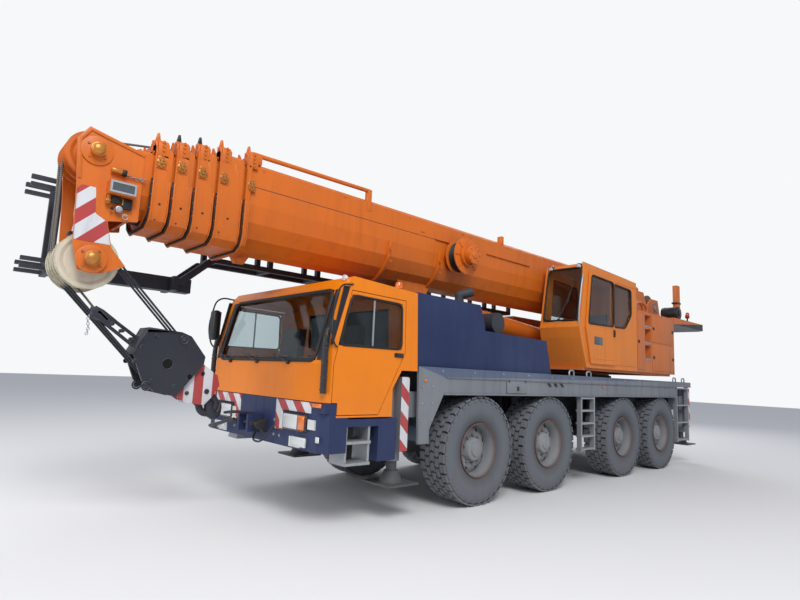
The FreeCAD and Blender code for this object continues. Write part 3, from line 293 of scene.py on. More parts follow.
def weathered(name, fresh, faded, rust=photo_colour(92, 58, 40), chips=0.1, streaks=0.25, dust=0.3,
              dust_top=1.5, gloss=0.38, metal=0.0, coat=0.0, bump=0.04, edges=0.5, dust_colour=DUST_GREY, over=None):
    """A painted or bare finish with age on it. over adds a painted pattern below the wear."""
    finish = bpy.data.materials.new(name)
    finish.use_nodes = True
    tree = finish.node_tree
    shader = tree.nodes["Principled BSDF"]
    masks = add_node(tree, "ShaderNodeGroup", node_tree=weather)
    for label, value in (("Chips", chips), ("Streaks", streaks), ("Dust", dust), ("Dust Top", dust_top),
                         ("Edges", edges)):
        masks.inputs[label].default_value = value
    fade = remap(tree, masks.outputs["Fade"], 0.30, 0.72)
    colour = mix_colour(tree, fade, fresh, faded)
    if over:
        colour = over(tree, colour)
    colour = mix_colour(tree, masks.outputs["Streaks"], colour, tuple(0.55 * part for part in faded[:3]) + (1.0,))
    colour = mix_colour(tree, masks.outputs["Dust"], colour, dust_colour)
    if chips:
        colour = mix_colour(tree, masks.outputs["Chips"], colour, rust)
    colour = mix_colour(tree, masks.outputs["Worn Edges"], colour, rust)
    link_nodes(tree, colour, shader.inputs["Base Color"])
    rough = remap(tree, combine(tree, "ADD", masks.outputs["Dust"], masks.outputs["Streaks"]), 0.0, 0.8, gloss, 0.8)
    link_nodes(tree, rough, shader.inputs["Roughness"])
    shader.inputs["Metallic"].default_value = metal
    shader.inputs["Specular IOR Level"].default_value = 0.38
    shader.inputs["Coat Weight"].default_value = coat
    shader.inputs["Coat Roughness"].default_value = 0.15
    relief = add_node(tree, "ShaderNodeBump")
    relief.inputs["Strength"].default_value = bump
    relief.inputs["Distance"].default_value = 0.002
    link_nodes(tree, masks.outputs["Grain"], relief.inputs["Height"])
    link_nodes(tree, relief.outputs["Normal"], shader.inputs["Normal"])
    return finish


crane_orange = weathered("crane_orange", photo_colour(212, 106, 22), photo_colour(196, 100, 32), chips=0.08,
                         streaks=0.22, dust=0.15, dust_top=2.2, gloss=0.40, edges=0.45)
panel_orange = weathered("panel_orange", photo_colour(206, 112, 46), photo_colour(196, 110, 56), chips=0.06,
                         streaks=0.18, dust=0.25, dust_top=3.2, gloss=0.48)
cabin_orange = weathered("cabin_orange", photo_colour(224, 126, 30), photo_colour(214, 122, 48), chips=0.04,
                         streaks=0.14, dust=0.15, dust_top=2.8, gloss=0.42)
cab_orange = weathered("cab_orange", photo_colour(232, 128, 8), photo_colour(222, 120, 14), chips=0.0,
                       streaks=0.08, dust=0.12, dust_top=1.6, gloss=0.28, coat=0.15, bump=0.01, edges=0.3)
navy = weathered("navy", photo_colour(27, 38, 78), photo_colour(42, 56, 92), chips=0.09, streaks=0.28,
                 dust=0.2, dust_top=1.3, gloss=0.44, dust_colour=photo_colour(84, 90, 104))
deck_blue = weathered("deck_blue", photo_colour(78, 90, 116), photo_colour(96, 106, 126), chips=0.12,
                      streaks=0.35, dust=0.75, dust_top=1.9, gloss=0.5, dust_colour=photo_colour(118, 122, 128))
dusty_grey = weathered("dusty_grey", photo_colour(112, 117, 124), photo_colour(128, 132, 138), chips=0.10,
                       streaks=0.4, dust=0.5, dust_top=1.8, gloss=0.6)
chassis = weathered("chassis", photo_colour(44, 47, 54), photo_colour(62, 64, 68), chips=0.10, streaks=0.2,
                    dust=0.6, dust_top=1.3, gloss=0.6)
cast = weathered("cast", photo_colour(60, 62, 64), photo_colour(82, 82, 80), chips=0.12, streaks=0.3,
                 dust=0.5, gloss=0.6, bump=0.3)
zinc = weathered("zinc", photo_colour(158, 164, 170), photo_colour(176, 180, 184), chips=0.05, streaks=0.25,
                 dust=0.35, gloss=0.42, metal=0.55, bump=0.12)
steel_grey = weathered("steel_grey", photo_colour(138, 140, 142), photo_colour(156, 156, 154), chips=0.14,
                       streaks=0.35, dust=0.45, gloss=0.5, metal=0.3)
black_paint = weathered("black_paint", photo_colour(26, 26, 29), photo_colour(40, 40, 43), chips=0.14,
                        rust=photo_colour(120, 118, 114), streaks=0.2, dust=0.15, dust_top=2.6, gloss=0.35)
jib_black = weathered("jib_black", photo_colour(30, 34, 46), photo_colour(42, 46, 58), chips=0.10, streaks=0.2,
                      dust=0.1, dust_top=3.6, gloss=0.45)
ivory = weathered("ivory", photo_colour(214, 208, 188), photo_colour(196, 188, 166), chips=0.13,
                  streaks=0.3, dust=0.1, dust_top=3.5, gloss=0.5)
chrome = weathered("chrome", photo_colour(205, 206, 208), photo_colour(196, 198, 200), chips=0.0, streaks=0.08,
                   dust=0.05, gloss=0.12, metal=1.0, bump=0.0)
exhaust_steel = weathered("exhaust_steel", photo_colour(196, 186, 172), photo_colour(160, 140, 118), chips=0.2,
                          streaks=0.3, dust=0.1, gloss=0.3, metal=0.9)
rusty = weathered("rusty", photo_colour(110, 84, 68), photo_colour(134, 104, 84), chips=0.3, streaks=0.4,
                  dust=0.3, dust_top=4.0, gloss=0.75, bump=0.4)
rubber = weathered("rubber", photo_colour(24, 25, 27), photo_colour(34, 35, 37), chips=0.0, streaks=0.1,
                   dust=0.2, dust_top=2.0, edges=0.0, gloss=0.55, bump=0.15)
seat_cloth = weathered("seat_cloth", photo_colour(58, 62, 68), photo_colour(70, 73, 78), chips=0.0,
                       streaks=0.0, dust=0.0, gloss=0.9, bump=0.6)

# %% [markdown]
# Glass on a crane is lightly tinted and never quite clean. It stays a real transmitting glass, with a
# faint roughness from dust, so that the seats and the far windows show through.

# %% Glass, lamps, rope and the striped plates
window_glass = bpy.data.materials.new("window_glass")
window_glass.use_nodes = True
tree = window_glass.node_tree
shader = tree.nodes["Principled BSDF"]
shader.inputs["Transmission Weight"].default_value = 1.0
shader.inputs["Metallic"].default_value = 0.0
shader.inputs["IOR"].default_value = 1.25
masks = add_node(tree, "ShaderNodeGroup", node_tree=weather)
link_nodes(tree, mix_colour(tree, remap(tree, masks.outputs["Fade"], 0.3, 0.7), (0.60, 0.68, 0.70, 1.0),
                            (0.68, 0.74, 0.75, 1.0)), shader.inputs["Base Color"])
link_nodes(tree, remap(tree, masks.outputs["Grain"], 0.3, 0.8, 0.0, 0.05), shader.inputs["Roughness"])


def lamp_glass(name, colour, deep):
    """A lamp lens with fine ribs, lit by the studio alone."""
    finish = bpy.data.materials.new(name)
    finish.use_nodes = True
    tree = finish.node_tree
    shader = tree.nodes["Principled BSDF"]
    where = add_node(tree, "ShaderNodeTexCoord").outputs["Object"]
    ribs = add_node(tree, "ShaderNodeTexWave", wave_type="BANDS", bands_direction="Y")
    ribs.inputs["Scale"].default_value = 22.0
    link_nodes(tree, where, ribs.inputs["Vector"])
    link_nodes(tree, mix_colour(tree, ribs.outputs["Fac"], deep, colour), shader.inputs["Base Color"])
    shader.inputs["Roughness"].default_value = 0.12
    shader.inputs["Coat Weight"].default_value = 1.0
    shader.inputs["Coat Roughness"].default_value = 0.05
    relief = add_node(tree, "ShaderNodeBump")
    relief.inputs["Strength"].default_value = 0.3
    relief.inputs["Distance"].default_value = 0.003
    link_nodes(tree, ribs.outputs["Fac"], relief.inputs["Height"])
    link_nodes(tree, relief.outputs["Normal"], shader.inputs["Normal"])
    return finish


clear_lens = lamp_glass("clear_lens", photo_colour(226, 228, 226), photo_colour(176, 180, 182))
amber_lens = lamp_glass("amber_lens", photo_colour(240, 130, 20), photo_colour(196, 88, 8))
red_lens = lamp_glass("red_lens", photo_colour(206, 32, 22), photo_colour(150, 16, 12))

stripe_group, s_in, s_out = start_group(
    "warning_stripes",
    (("Pitch", 0.3), ("Up", 1.0), ("Along", 0.0), ("Aside", 0.0), ("Chevron", 0.0), ("Start", 0.0)),
    ("Stripe",),
)
place = add_node(stripe_group, "ShaderNodeSeparateXYZ")
link_nodes(stripe_group, add_node(stripe_group, "ShaderNodeTexCoord").outputs["Object"], place.inputs[0])
slanted = combine(stripe_group, "MULTIPLY", place.outputs["Z"], s_in.outputs["Up"])
spread = combine(stripe_group, "ABSOLUTE", place.outputs["Y"])
for value, label in ((place.outputs["X"], "Along"), (place.outputs["Y"], "Aside"), (spread, "Chevron")):
    slanted = combine(stripe_group, "ADD", slanted, combine(stripe_group, "MULTIPLY", value, s_in.outputs[label]))
turns = combine(stripe_group, "DIVIDE", combine(stripe_group, "SUBTRACT", slanted, s_in.outputs["Start"]),
                s_in.outputs["Pitch"])
link_nodes(stripe_group, remap(stripe_group, combine(stripe_group, "FRACT", turns), 0.49, 0.51), s_out.inputs["Stripe"])


def striped(name, **setting):
    """Red paint with white bands. The settings are the pattern's pitch, its slant and where a red band starts."""
    def bands(tree, red):
        node = add_node(tree, "ShaderNodeGroup", node_tree=stripe_group)
        for label, value in setting.items():
            node.inputs[label].default_value = value
        return mix_colour(tree, node.outputs["Stripe"], red, photo_colour(206, 208, 212))
    return weathered(name, photo_colour(176, 60, 60), photo_colour(166, 66, 66), chips=0.05, streaks=0.25,
                     dust=0.25, dust_top=1.8, gloss=0.4, over=bands)


width_bands = striped("width_bands", Pitch=0.32, Aside=1.0, Start=1.754)
jack_bands = striped("jack_bands", Pitch=0.315, Along=-1.0, Start=-0.031 - AXLE_1)
rear_bands = striped("rear_bands", Pitch=0.30, Along=-1.0, Start=0.1)
head_bands = striped("head_bands", Pitch=0.305, Along=1.0, Start=7.215 + AXLE_1)
head_chevrons = striped("head_chevrons", Pitch=0.29, Chevron=1.0, Start=3.205)
hook_bands = striped("hook_bands", Pitch=0.205, Up=0.0, Along=1.0, Start=3.222 + AXLE_1)
block_black = weathered("block_black", photo_colour(30, 33, 42), photo_colour(42, 46, 56), chips=0.22,
                        rust=photo_colour(128, 130, 136), streaks=0.2, dust=0.1, dust_top=2.6, gloss=0.4)
# Near-black for the inside of the hook block's lightening holes: painted shade.
hole_shade_black = weathered("hole_shade_black", photo_colour(8, 8, 9), photo_colour(12, 12, 13), chips=0.0, streaks=0.0,
                       dust=0.0, gloss=0.9)
brass = weathered("brass", photo_colour(206, 136, 58), photo_colour(176, 116, 60), chips=0.06, streaks=0.3,
                  dust=0.1, gloss=0.32, metal=0.5, bump=0.1)
# Near-black with rusty chips, for the downward faces of the boom sections: painted shade under the boom.
underside_shade = weathered("underside_shade", photo_colour(44, 36, 32), photo_colour(66, 46, 36), chips=0.15,
                   rust=photo_colour(150, 84, 40), streaks=0.3, dust=0.05, gloss=0.45, bump=0.3)
dark_panel = weathered("dark_panel", photo_colour(66, 76, 78), photo_colour(80, 90, 92), chips=0.0, streaks=0.2,
                       dust=0.1, gloss=0.25, coat=0.4)

rope_finish = bpy.data.materials.new("wire_rope")
rope_finish.use_nodes = True
tree = rope_finish.node_tree
shader = tree.nodes["Principled BSDF"]
where = add_node(tree, "ShaderNodeTexCoord").outputs["Object"]
strands = add_node(tree, "ShaderNodeTexWave", wave_type="BANDS", bands_direction="DIAGONAL")
strands.inputs["Scale"].default_value = 30.0
link_nodes(tree, where, strands.inputs["Vector"])
link_nodes(tree, mix_colour(tree, strands.outputs["Fac"], photo_colour(58, 54, 50), photo_colour(124, 118, 110)),
           shader.inputs["Base Color"])
shader.inputs["Roughness"].default_value = 0.5
shader.inputs["Metallic"].default_value = 0.6
relief = add_node(tree, "ShaderNodeBump")
relief.inputs["Strength"].default_value = 0.6
relief.inputs["Distance"].default_value = 0.003
link_nodes(tree, strands.outputs["Fac"], relief.inputs["Height"])
link_nodes(tree, relief.outputs["Normal"], shader.inputs["Normal"])

# %% [markdown]
# ## The CAD solids take their finishes
# Each CAD node carries one or a few material slots with plain names. A table gives every slot its finish.
# Where one node holds pieces of different stuff, the faces are told apart by
# their place.

# %% Finishes for the CAD slots
SLOT_FINISH = {
    "orange_paint": crane_orange, "cab_orange_paint": cab_orange, "navy_paint": navy,
    "deck_grey_paint": deck_blue, "chassis_dark": chassis, "engine_cast": cast, "step_zinc": zinc,
    "jack_stripes": dusty_grey, "jack_steel": chassis, "tyre_rubber": rubber, "window_glass": window_glass,
    "trim_dark": seat_cloth, "lamp_glass": clear_lens, "sheave_ivory": ivory, "rod_chrome": chrome,
    "block_black": block_black, "jib_dark": jib_black, "rope_drum": rusty,
}
for node_name, node in nodes.items():
    for holder in node.material_slots:
        if holder.material is None:
            continue
        plain = holder.material.name.split(".")[0]
        if plain in SLOT_FINISH:
            holder.material = SLOT_FINISH[plain]
        else:
            print("no finish for", plain, "on", node_name)


def refinish(node_name, finish, inside=None, facing=None):
    """Give a CAD node another finish, or only its faces whose centre or direction passes a test."""
    node = nodes[node_name]
    if inside is None:
        for holder in node.material_slots:
            holder.material = finish
        return
    node.data.materials.append(finish)
    index = len(node.data.materials) - 1
    changed = 0
    for face in node.data.polygons:
        if inside(node.matrix_world @ face.center) or (facing and facing(face.normal)):
            face.material_index = index
            changed += 1
    print(node_name, finish.name, changed, "faces")


for name, finish in (("operator_cabin", cabin_orange), ("cabin_door", cabin_orange), ("slew_frame", panel_orange),
                     ("machinery_housing", panel_orange)):
    refinish(name, finish)
for corner in ("front_left", "front_right", "rear_left", "rear_right"):
    bands = jack_bands if "front" in corner else rear_bands
    refinish("outrigger_beam_" + corner, bands, lambda p: abs(p.y) > 1.325)
refinish("slew_frame", block_black, lambda p: p.x < -5.2 and 2.9 < p.z < 3.06)
refinish("sheaves", crane_orange, lambda p: p.z > 3.1)
refinish("deck_and_fenders", dusty_grey, lambda p: p.z < 1.66 and abs(p.y) > 1.30)
refinish("exhaust_and_filter", exhaust_steel, lambda p: p.z > 2.3 and abs(p.y) < 0.7)
print("finishes given")

# %% [markdown]
# ## Small workshop of shapes
# Most fittings on a crane are plates, blocks, rods and bent tubes. Each helper adds one of them to a form,
# in millimetres from axle 1, and the last one turns the form into a mesh in the crane's frame. Edges get a
# small round, because a real sheet or casting never ends in a knife edge and the round catches the light.

# %% Shape helpers
AXLE_SPOT = AXLE_1
TO_FRAME = Matrix.Translation((AXLE_SPOT, 0, 0)) @ Matrix.Scale(MM, 4)
print("axle 1 stands", round(AXLE_SPOT, 3), "m ahead of the middle")


def rounded(form, faces, amount, steps=2):
    """Round the sharp edges of some faces."""
    if amount:
        edges = {edge for face in faces for edge in face.edges if edge.calc_face_angle(0) > 0.4}
        bmesh.ops.bevel(form, geom=list(edges), offset=amount, segments=steps, profile=0.5,
                        affect="EDGES", offset_type="OFFSET", material=-1)


def block(form, x0, x1, y0, y1, z0, z1, amount=0.0):
    """A box between two corners."""
    size = Vector((abs(x1 - x0), abs(y1 - y0), abs(z1 - z0)))
    middle = Vector(((x0 + x1) / 2, (y0 + y1) / 2, (z0 + z1) / 2))
    place = Matrix.Translation(middle) @ Matrix.Diagonal(size).to_4x4()
    made = bmesh.ops.create_cube(form, size=1.0, matrix=place)
    rounded(form, {face for vert in made["verts"] for face in vert.link_faces}, amount)


def rod(form, start, end, radius, end_radius=None, segments=20, amount=0.0):
    """A round bar or cone between two points."""
    start, end = Vector(start), Vector(end)
    run = end - start
    place = Matrix.Translation((start + end) / 2) @ run.to_track_quat("Z", "Y").to_matrix().to_4x4()
    made = bmesh.ops.create_cone(form, cap_ends=True, segments=segments, radius1=radius,
                                 radius2=radius if end_radius is None else end_radius,
                                 depth=run.length, matrix=place)
    rounded(form, {face for vert in made["verts"] for face in vert.link_faces if len(face.verts) > 4}, amount)


AXIS_FLIP = {
    "y": Matrix(((1, 0, 0), (0, 0, 1), (0, 1, 0))),
    "x": Matrix(((0, 0, 1), (1, 0, 0), (0, 1, 0))),
    "z": Matrix(((1, 0, 0), (0, 1, 0), (0, 0, 1))),
}


def plate(form, outline, low, high, across="y", amount=0.0):
    """An outline drawn out along one axis. Points are (x, z) across y, (y, z) across x, (x, y) across z."""
    turn = AXIS_FLIP[across]
    corners = [form.verts.new(turn @ Vector((a, b, low))) for a, b in outline]
    face = form.faces.new(corners)
    grown = bmesh.ops.extrude_face_region(form, geom=[face])
    fresh = [part for part in grown["geom"] if isinstance(part, bmesh.types.BMVert)]
    bmesh.ops.translate(form, verts=fresh, vec=turn @ Vector((0, 0, high - low)))
    rounded(form, {f for vert in corners + fresh for f in vert.link_faces}, amount)


def bolts(form, places, axis="y", side=1, radius=14.0, height=12.0):
    """Hexagon heads at places, standing out along an axis."""
    step = {"x": Vector((1, 0, 0)), "y": Vector((0, 1, 0)), "z": Vector((0, 0, 1))}[axis] * side
    for place in places:
        place = Vector(place)
        rod(form, place - step * 2, place + step * 3, radius * 1.5, segments=16)
        rod(form, place, place + step * height, radius, segments=6)


def finish_piece(name, form, finish, body, angle=32.0, place=TO_FRAME):
    """Turn a form into a mesh in the crane's frame. It moves with a body, or with none when no body is given."""
    bmesh.ops.remove_doubles(form, verts=form.verts, dist=0.05)
    bmesh.ops.transform(form, matrix=place, verts=form.verts)
    bmesh.ops.recalc_face_normals(form, faces=form.faces)
    mesh = bpy.data.meshes.new(name)
    form.to_mesh(mesh)
    form.free()
    mesh.materials.append(finish)
    mesh.polygons.foreach_set("use_smooth", [True] * len(mesh.polygons))
    mesh.set_sharp_from_angle(angle=math.radians(angle))
    piece = bpy.data.objects.new(name, mesh)
    bpy.context.scene.collection.objects.link(piece)
    if body:
        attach(piece, body)
    return piece


def tube(name, points, radius, finish, body, smooth=True, sides=4, closed=False, place=TO_FRAME):
    """A bent tube, hose or cable through points."""
    curve = bpy.data.curves.new(name, "CURVE")
    curve.dimensions = "3D"
    curve.bevel_depth = radius
    curve.bevel_resolution = sides
    curve.resolution_u = 8
    curve.use_fill_caps = True
    line = curve.splines.new("BEZIER" if smooth else "POLY")
    spots = line.bezier_points if smooth else line.points
    spots.add(len(points) - 1)
    line.use_cyclic_u = closed
    for spot_at, point in zip(spots, points):
        spot_at.co = Vector(point) if smooth else Vector(point).to_4d()
        if smooth:
            spot_at.handle_left_type = "AUTO"
            spot_at.handle_right_type = "AUTO"
    holder = bpy.data.objects.new(name + "_line", curve)
    bpy.context.scene.collection.objects.link(holder)
    solid = bpy.data.meshes.new_from_object(holder.evaluated_get(bpy.context.evaluated_depsgraph_get()))
    bpy.data.objects.remove(holder)
    form = bmesh.new()
    form.from_mesh(solid)
    bpy.data.meshes.remove(solid)
    return finish_piece(name, form, finish, body, angle=50.0, place=place)

# %% [markdown]
# ## Wheels
# The tyres are big single tyres with an off-road tread: zig-zag blocks in five staggered rows, and heavy
# shoulder blocks that run a little down the sidewall. A tyre is a turned form, so its section is spun
# round the axle and the blocks are set round it by a loop. One tyre and one rim are built and then placed
# eight times. An attribute holds how far each point is from the axle, so dust, rust and the painted shade in
# the grooves can be painted by radius.

# %% Tyre form
TYRE_R, TYRE_HALF, BEAD_R = 695.0, 213.0, 345.0
GROOVE_R = 671.0
TREAD_ROWS = [
    # middle y, half width, blocks round, slant, turn offset
    (0.0, 34.0, 34, 0.50, 0.0),
    (82.0, 32.0, 34, -0.50, 0.5),
    (-82.0, 32.0, 34, -0.50, 0.5),
    (164.0, 40.0, 34, 0.22, 0.0),
    (-164.0, 40.0, 34, 0.22, 0.0),
]


def spin_outline(form, outline, steps=72):
    """Turn an outline of (y, radius) points round the axle."""
    line = [form.verts.new((0.0, y, radius)) for y, radius in outline]
    edges = [form.edges.new(pair) for pair in zip(line, line[1:])]
    bmesh.ops.spin(form, geom=line + edges, cent=(0, 0, 0), axis=(0, 1, 0), angle=math.tau, steps=steps,
                   use_merge=True)


def tyre_form():
    form = bmesh.new()
    spin_outline(form, [
        (150, BEAD_R), (176, BEAD_R + 8), (186, BEAD_R + 24), (196, 420), (TYRE_HALF - 3, 500), (TYRE_HALF, 545),
        (206, 600), (204, 640), (196, 664), (176, GROOVE_R), (0, GROOVE_R + 3), (-176, GROOVE_R), (-196, 664),
        (-204, 640), (-206, 600), (-TYRE_HALF, 545), (-TYRE_HALF + 3, 500), (-196, 420),
        (-186, BEAD_R + 24), (-176, BEAD_R + 8), (-150, BEAD_R),
    ])
    for middle, half, count, slant, offset in TREAD_ROWS:
        pitch = math.tau / count
        length = GROOVE_R * pitch * 0.80
        for index in range(count):
            turn = Matrix.Rotation((index + offset) * pitch, 4, "Y")
            for part in (-1, 1):
                lean = Matrix.Identity(4)
                lean[0][1] = slant * part
                middle_y = middle + part * half / 2
                place = turn @ Matrix.Translation((0, middle_y, (GROOVE_R + TYRE_R) / 2 - 2))
                place = place @ lean @ Matrix.Diagonal((length, half, TYRE_R - GROOVE_R)).to_4x4()
                bmesh.ops.create_cube(form, size=1.0, matrix=place)
            if abs(middle) > 100:
                side = math.copysign(1, middle)
                place = turn @ Matrix.Translation((0, side * 204, 655)) @ Matrix.Rotation(side * 0.22, 4, "X")
                place = place @ Matrix.Diagonal((length * 0.55, 12, 52)).to_4x4()
                bmesh.ops.create_cube(form, size=1.0, matrix=place)
    return form


# %% [markdown]
# The rim is a dished steel disc, well inside the tyre, with round hand holes shown as dark sleeves of painted
# shade, a raised hub and a ring of wheel nuts. Its bead flange shows as a rusty ring.

# %% Rim form
RIM_FLANGE_R, NUT_COUNT, HOLE_COUNT = 352.0, 10, 8


def rim_form():
    form = bmesh.new()
    spin_outline(form, [
        (188, RIM_FLANGE_R), (194, RIM_FLANGE_R - 6), (192, RIM_FLANGE_R - 16), (172, 331), (150, 326),
        (110, 314), (20, 308), (-150, 310), (-192, RIM_FLANGE_R - 16), (-188, RIM_FLANGE_R),
    ], steps=64)
    spin_outline(form, [
        (20, 306), (24, 292), (52, 262), (64, 228), (62, 190), (60, 168), (96, 156), (126, 140), (134, 118),
        (136, 92), (150, 84), (154, 60), (155, 0.5),
    ], steps=64)
    for index in range(NUT_COUNT):
        turn = Matrix.Rotation(index * math.tau / NUT_COUNT, 4, "Y")
        lift = Matrix.Rotation(-math.pi / 2, 4, "X")
        nut = turn @ Matrix.Translation((0, 74, 184)) @ lift
        bmesh.ops.create_cone(form, cap_ends=True, segments=6, radius1=17, radius2=15, depth=34, matrix=nut)
        stud = turn @ Matrix.Translation((0, 90, 184)) @ lift
        bmesh.ops.create_cone(form, cap_ends=True, segments=10, radius1=9, radius2=9, depth=30, matrix=stud)
    return form


def rim_hole_shade_form():
    """Hand holes in the dish, drawn as short recessed dark sleeves: painted shade inside the holes."""
    form = bmesh.new()
    for index in range(HOLE_COUNT):
        turn = Matrix.Rotation((index + 0.5) * math.tau / HOLE_COUNT, 4, "Y")
        tilt = turn @ Matrix.Translation((0, 47, 257)) @ Matrix.Rotation(math.radians(-52), 4, "X")
        bmesh.ops.create_cone(form, cap_ends=True, segments=20, radius1=25, radius2=25, depth=18, matrix=tilt)
    return form


# %% Tyre and rim finishes read the distance from the axle
def tyre_dust_and_groove_shade(tree, colour):
    """Grey dust on the sidewall and the block tops, and painted shade that darkens the grooves between the blocks."""
    reach = add_node(tree, "ShaderNodeAttribute", attribute_name="axle_distance").outputs["Fac"]
    wall = remap(tree, reach, 0.36, 0.50)
    shown = mix_colour(tree, wall, photo_colour(76, 77, 80), photo_colour(98, 102, 108))
    groove = remap(tree, reach, 0.664, 0.680)
    # Painted shade: the groove floors and the feet of the blocks go near black.
    deep = combine(tree, "MULTIPLY", remap(tree, reach, 0.655, 0.668), combine(tree, "SUBTRACT", 1.0, groove))
    shown = mix_colour(tree, groove, shown, photo_colour(108, 112, 118))
    return mix_colour(tree, deep, shown, photo_colour(30, 30, 31))


def rim_age(tree, colour):
    """Rust on the bead flange, clean grey in the dish."""
    reach = add_node(tree, "ShaderNodeAttribute", attribute_name="axle_distance").outputs["Fac"]
    return mix_colour(tree, remap(tree, reach, 0.325, 0.338), colour, photo_colour(104, 66, 58))


tyre_finish = weathered("tyre_finish", photo_colour(82, 86, 92), photo_colour(96, 100, 107), chips=0.0, streaks=0.15,
                        dust=0.25, dust_top=1.0, gloss=0.8, bump=0.5, over=tyre_dust_and_groove_shade)
rim_finish = weathered("rim_finish", photo_colour(122, 126, 130), photo_colour(142, 144, 146), chips=0.10,
                       streaks=0.2, dust=0.45, dust_top=1.4, gloss=0.5, over=rim_age)

# %% Eight wheels from one pattern
HALF_TRACK = 1145.0


def note_distance(piece, centre):
    """Store each point's distance from the axle, in metres."""
    layer = piece.data.attributes.new("axle_distance", "FLOAT", "POINT")
    for point, value in zip(piece.data.vertices, layer.data):
        offset = point.co - centre
        value.value = math.hypot(offset.x, offset.z)


# The hand holes are dark sleeves of rubber: painted shade inside the holes.
patterns = (("tyre", tyre_form(), tyre_finish), ("rim", rim_form(), rim_finish), ("rim_hole_shade", rim_hole_shade_form(), rubber))
triangles = 0
for number in (1, 2, 3, 4):
    for side_name, side in (("left", 1), ("right", -1)):
        body = f"wheel_{number}_{side_name}"
        low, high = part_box(body)
        centre = (Vector(low) + Vector(high)) / 2
        place = Matrix.Translation(centre) @ Matrix.Diagonal((MM, side * MM, MM)).to_4x4()
        for part_name, pattern, finish in patterns:
            piece = finish_piece(f"{part_name}_{number}_{side_name}", pattern.copy(), finish, body, 35.0, place)
            note_distance(piece, centre)
            if part_name == "tyre":
                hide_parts(body)
            triangles += sum(len(face.vertices) - 2 for face in piece.data.polygons)
for part_name, pattern, finish in patterns:
    pattern.free()
print("wheel triangles:", triangles)

# %% [markdown]
# ## Driving cab
# The cab is a boxed steel shell with big rubber-framed windows. The rubbers, the wipers, the black corner
# duct and the mirrors are what make it read as a cab. Their places follow the CAD cab's flat faces: the
# side at half the width of the crane, and a windscreen that leans back.

# %% Where the cab's faces are
SIDE_Y = round(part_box("cab_shell")[1][1] / MM)
SCREEN_SLOPE = (2290 - 2505) / (2560 - 1700)
SCREEN_HALF = SIDE_Y - 225


def on_screen(y, z, out=4.0):
    """A place on the windscreen's leaning face, a little in front of it."""
    return Vector((2505 + SCREEN_SLOPE * (z - 1700) + out, y, z))


def mirrored(points, side):
    """The same places on the left (1) or the right (-1)."""
    return [Vector((x, side * y, z)) for x, y, z in points]


# %% [markdown]
# A rubber is an extruded strip pressed round the glass. It is drawn here as a tube that follows the
# window's outline, with its corners rounded, and it sits half in the panel.

# %% Window rubbers
def rubber_ring(name, corners, body, radius=15.0, round_by=70.0, finish=rubber):
    """A tube round a window."""
    path = []
    count = len(corners)
    for index in range(count):
        here, back, ahead = (Vector(corners[(index + step) % count]) for step in (0, -1, 1))
        into, out = (back - here).normalized(), (ahead - here).normalized()
        for step in range(5):
            angle = step * math.pi / 8
            path.append(here + into * round_by * (1 - math.sin(angle)) + out * round_by * (1 - math.cos(angle)))
    return tube(name, path, radius, finish, body, smooth=False, closed=True)


screen_corners = [on_screen(-SCREEN_HALF, 1735), on_screen(SCREEN_HALF, 1735), on_screen(SCREEN_HALF, 2505),
                  on_screen(-SCREEN_HALF, 2505)]
rubber_ring("windscreen_rubber", screen_corners, "carrier", 22, 90)
for side_name, side in (("left", 1), ("right", -1)):
    window = mirrored([(2362, SIDE_Y, 1906), (2222, SIDE_Y, 2444), (1504, SIDE_Y, 2424), (1486, SIDE_Y, 1911)], side)
    rubber_ring("door_rubber_" + side_name, window, "cab_door_" + side_name, 14, 60)
    form = bmesh.new()
    block(form, 1905, 1925, side * (SIDE_Y - 12), side * (SIDE_Y + 4), 1912, 2432, 4)
    finish_piece("door_window_bar_" + side_name, form, zinc, "cab_door_" + side_name)
    form = bmesh.new()
    block(form, 1450, 1590, side * SIDE_Y, side * (SIDE_Y + 6), 1815, 1865, 4)
    block(form, 1470, 1570, side * (SIDE_Y + 6), side * (SIDE_Y + 30), 1828, 1850, 8)
    finish_piece("door_handle_" + side_name, form, black_paint, "cab_door_" + side_name)

# %% [markdown]
# Three wipers park flat along the bottom of the glass: a short arm from each spindle and a thin blade.

# %% Wipers
form = bmesh.new()
for pivot_y in (-800.0, -80.0, 640.0):
    spindle = on_screen(pivot_y, 1702, 2)
    rod(form, spindle, spindle + Vector((30, 0, 4)), 20, segments=16, amount=3)
    tip = on_screen(pivot_y - 330, 1800, 26)
    rod(form, spindle + Vector((24, 0, 0)), tip, 8, segments=8)
    rod(form, on_screen(pivot_y - 620, 1776, 20), on_screen(pivot_y - 40, 1776, 20), 7, segments=8)
    block(form, tip.x - 8, tip.x + 6, tip.y - 24, tip.y + 24, tip.z - 34, tip.z + 8, 3)
finish_piece("wipers", form, black_paint, "carrier")

# %% [markdown]
# A black moulded pillar trim wraps the cab's front corner above the waist, and below it a thick air duct
# with ribs and screws stands against the corner. The other corner has the same.

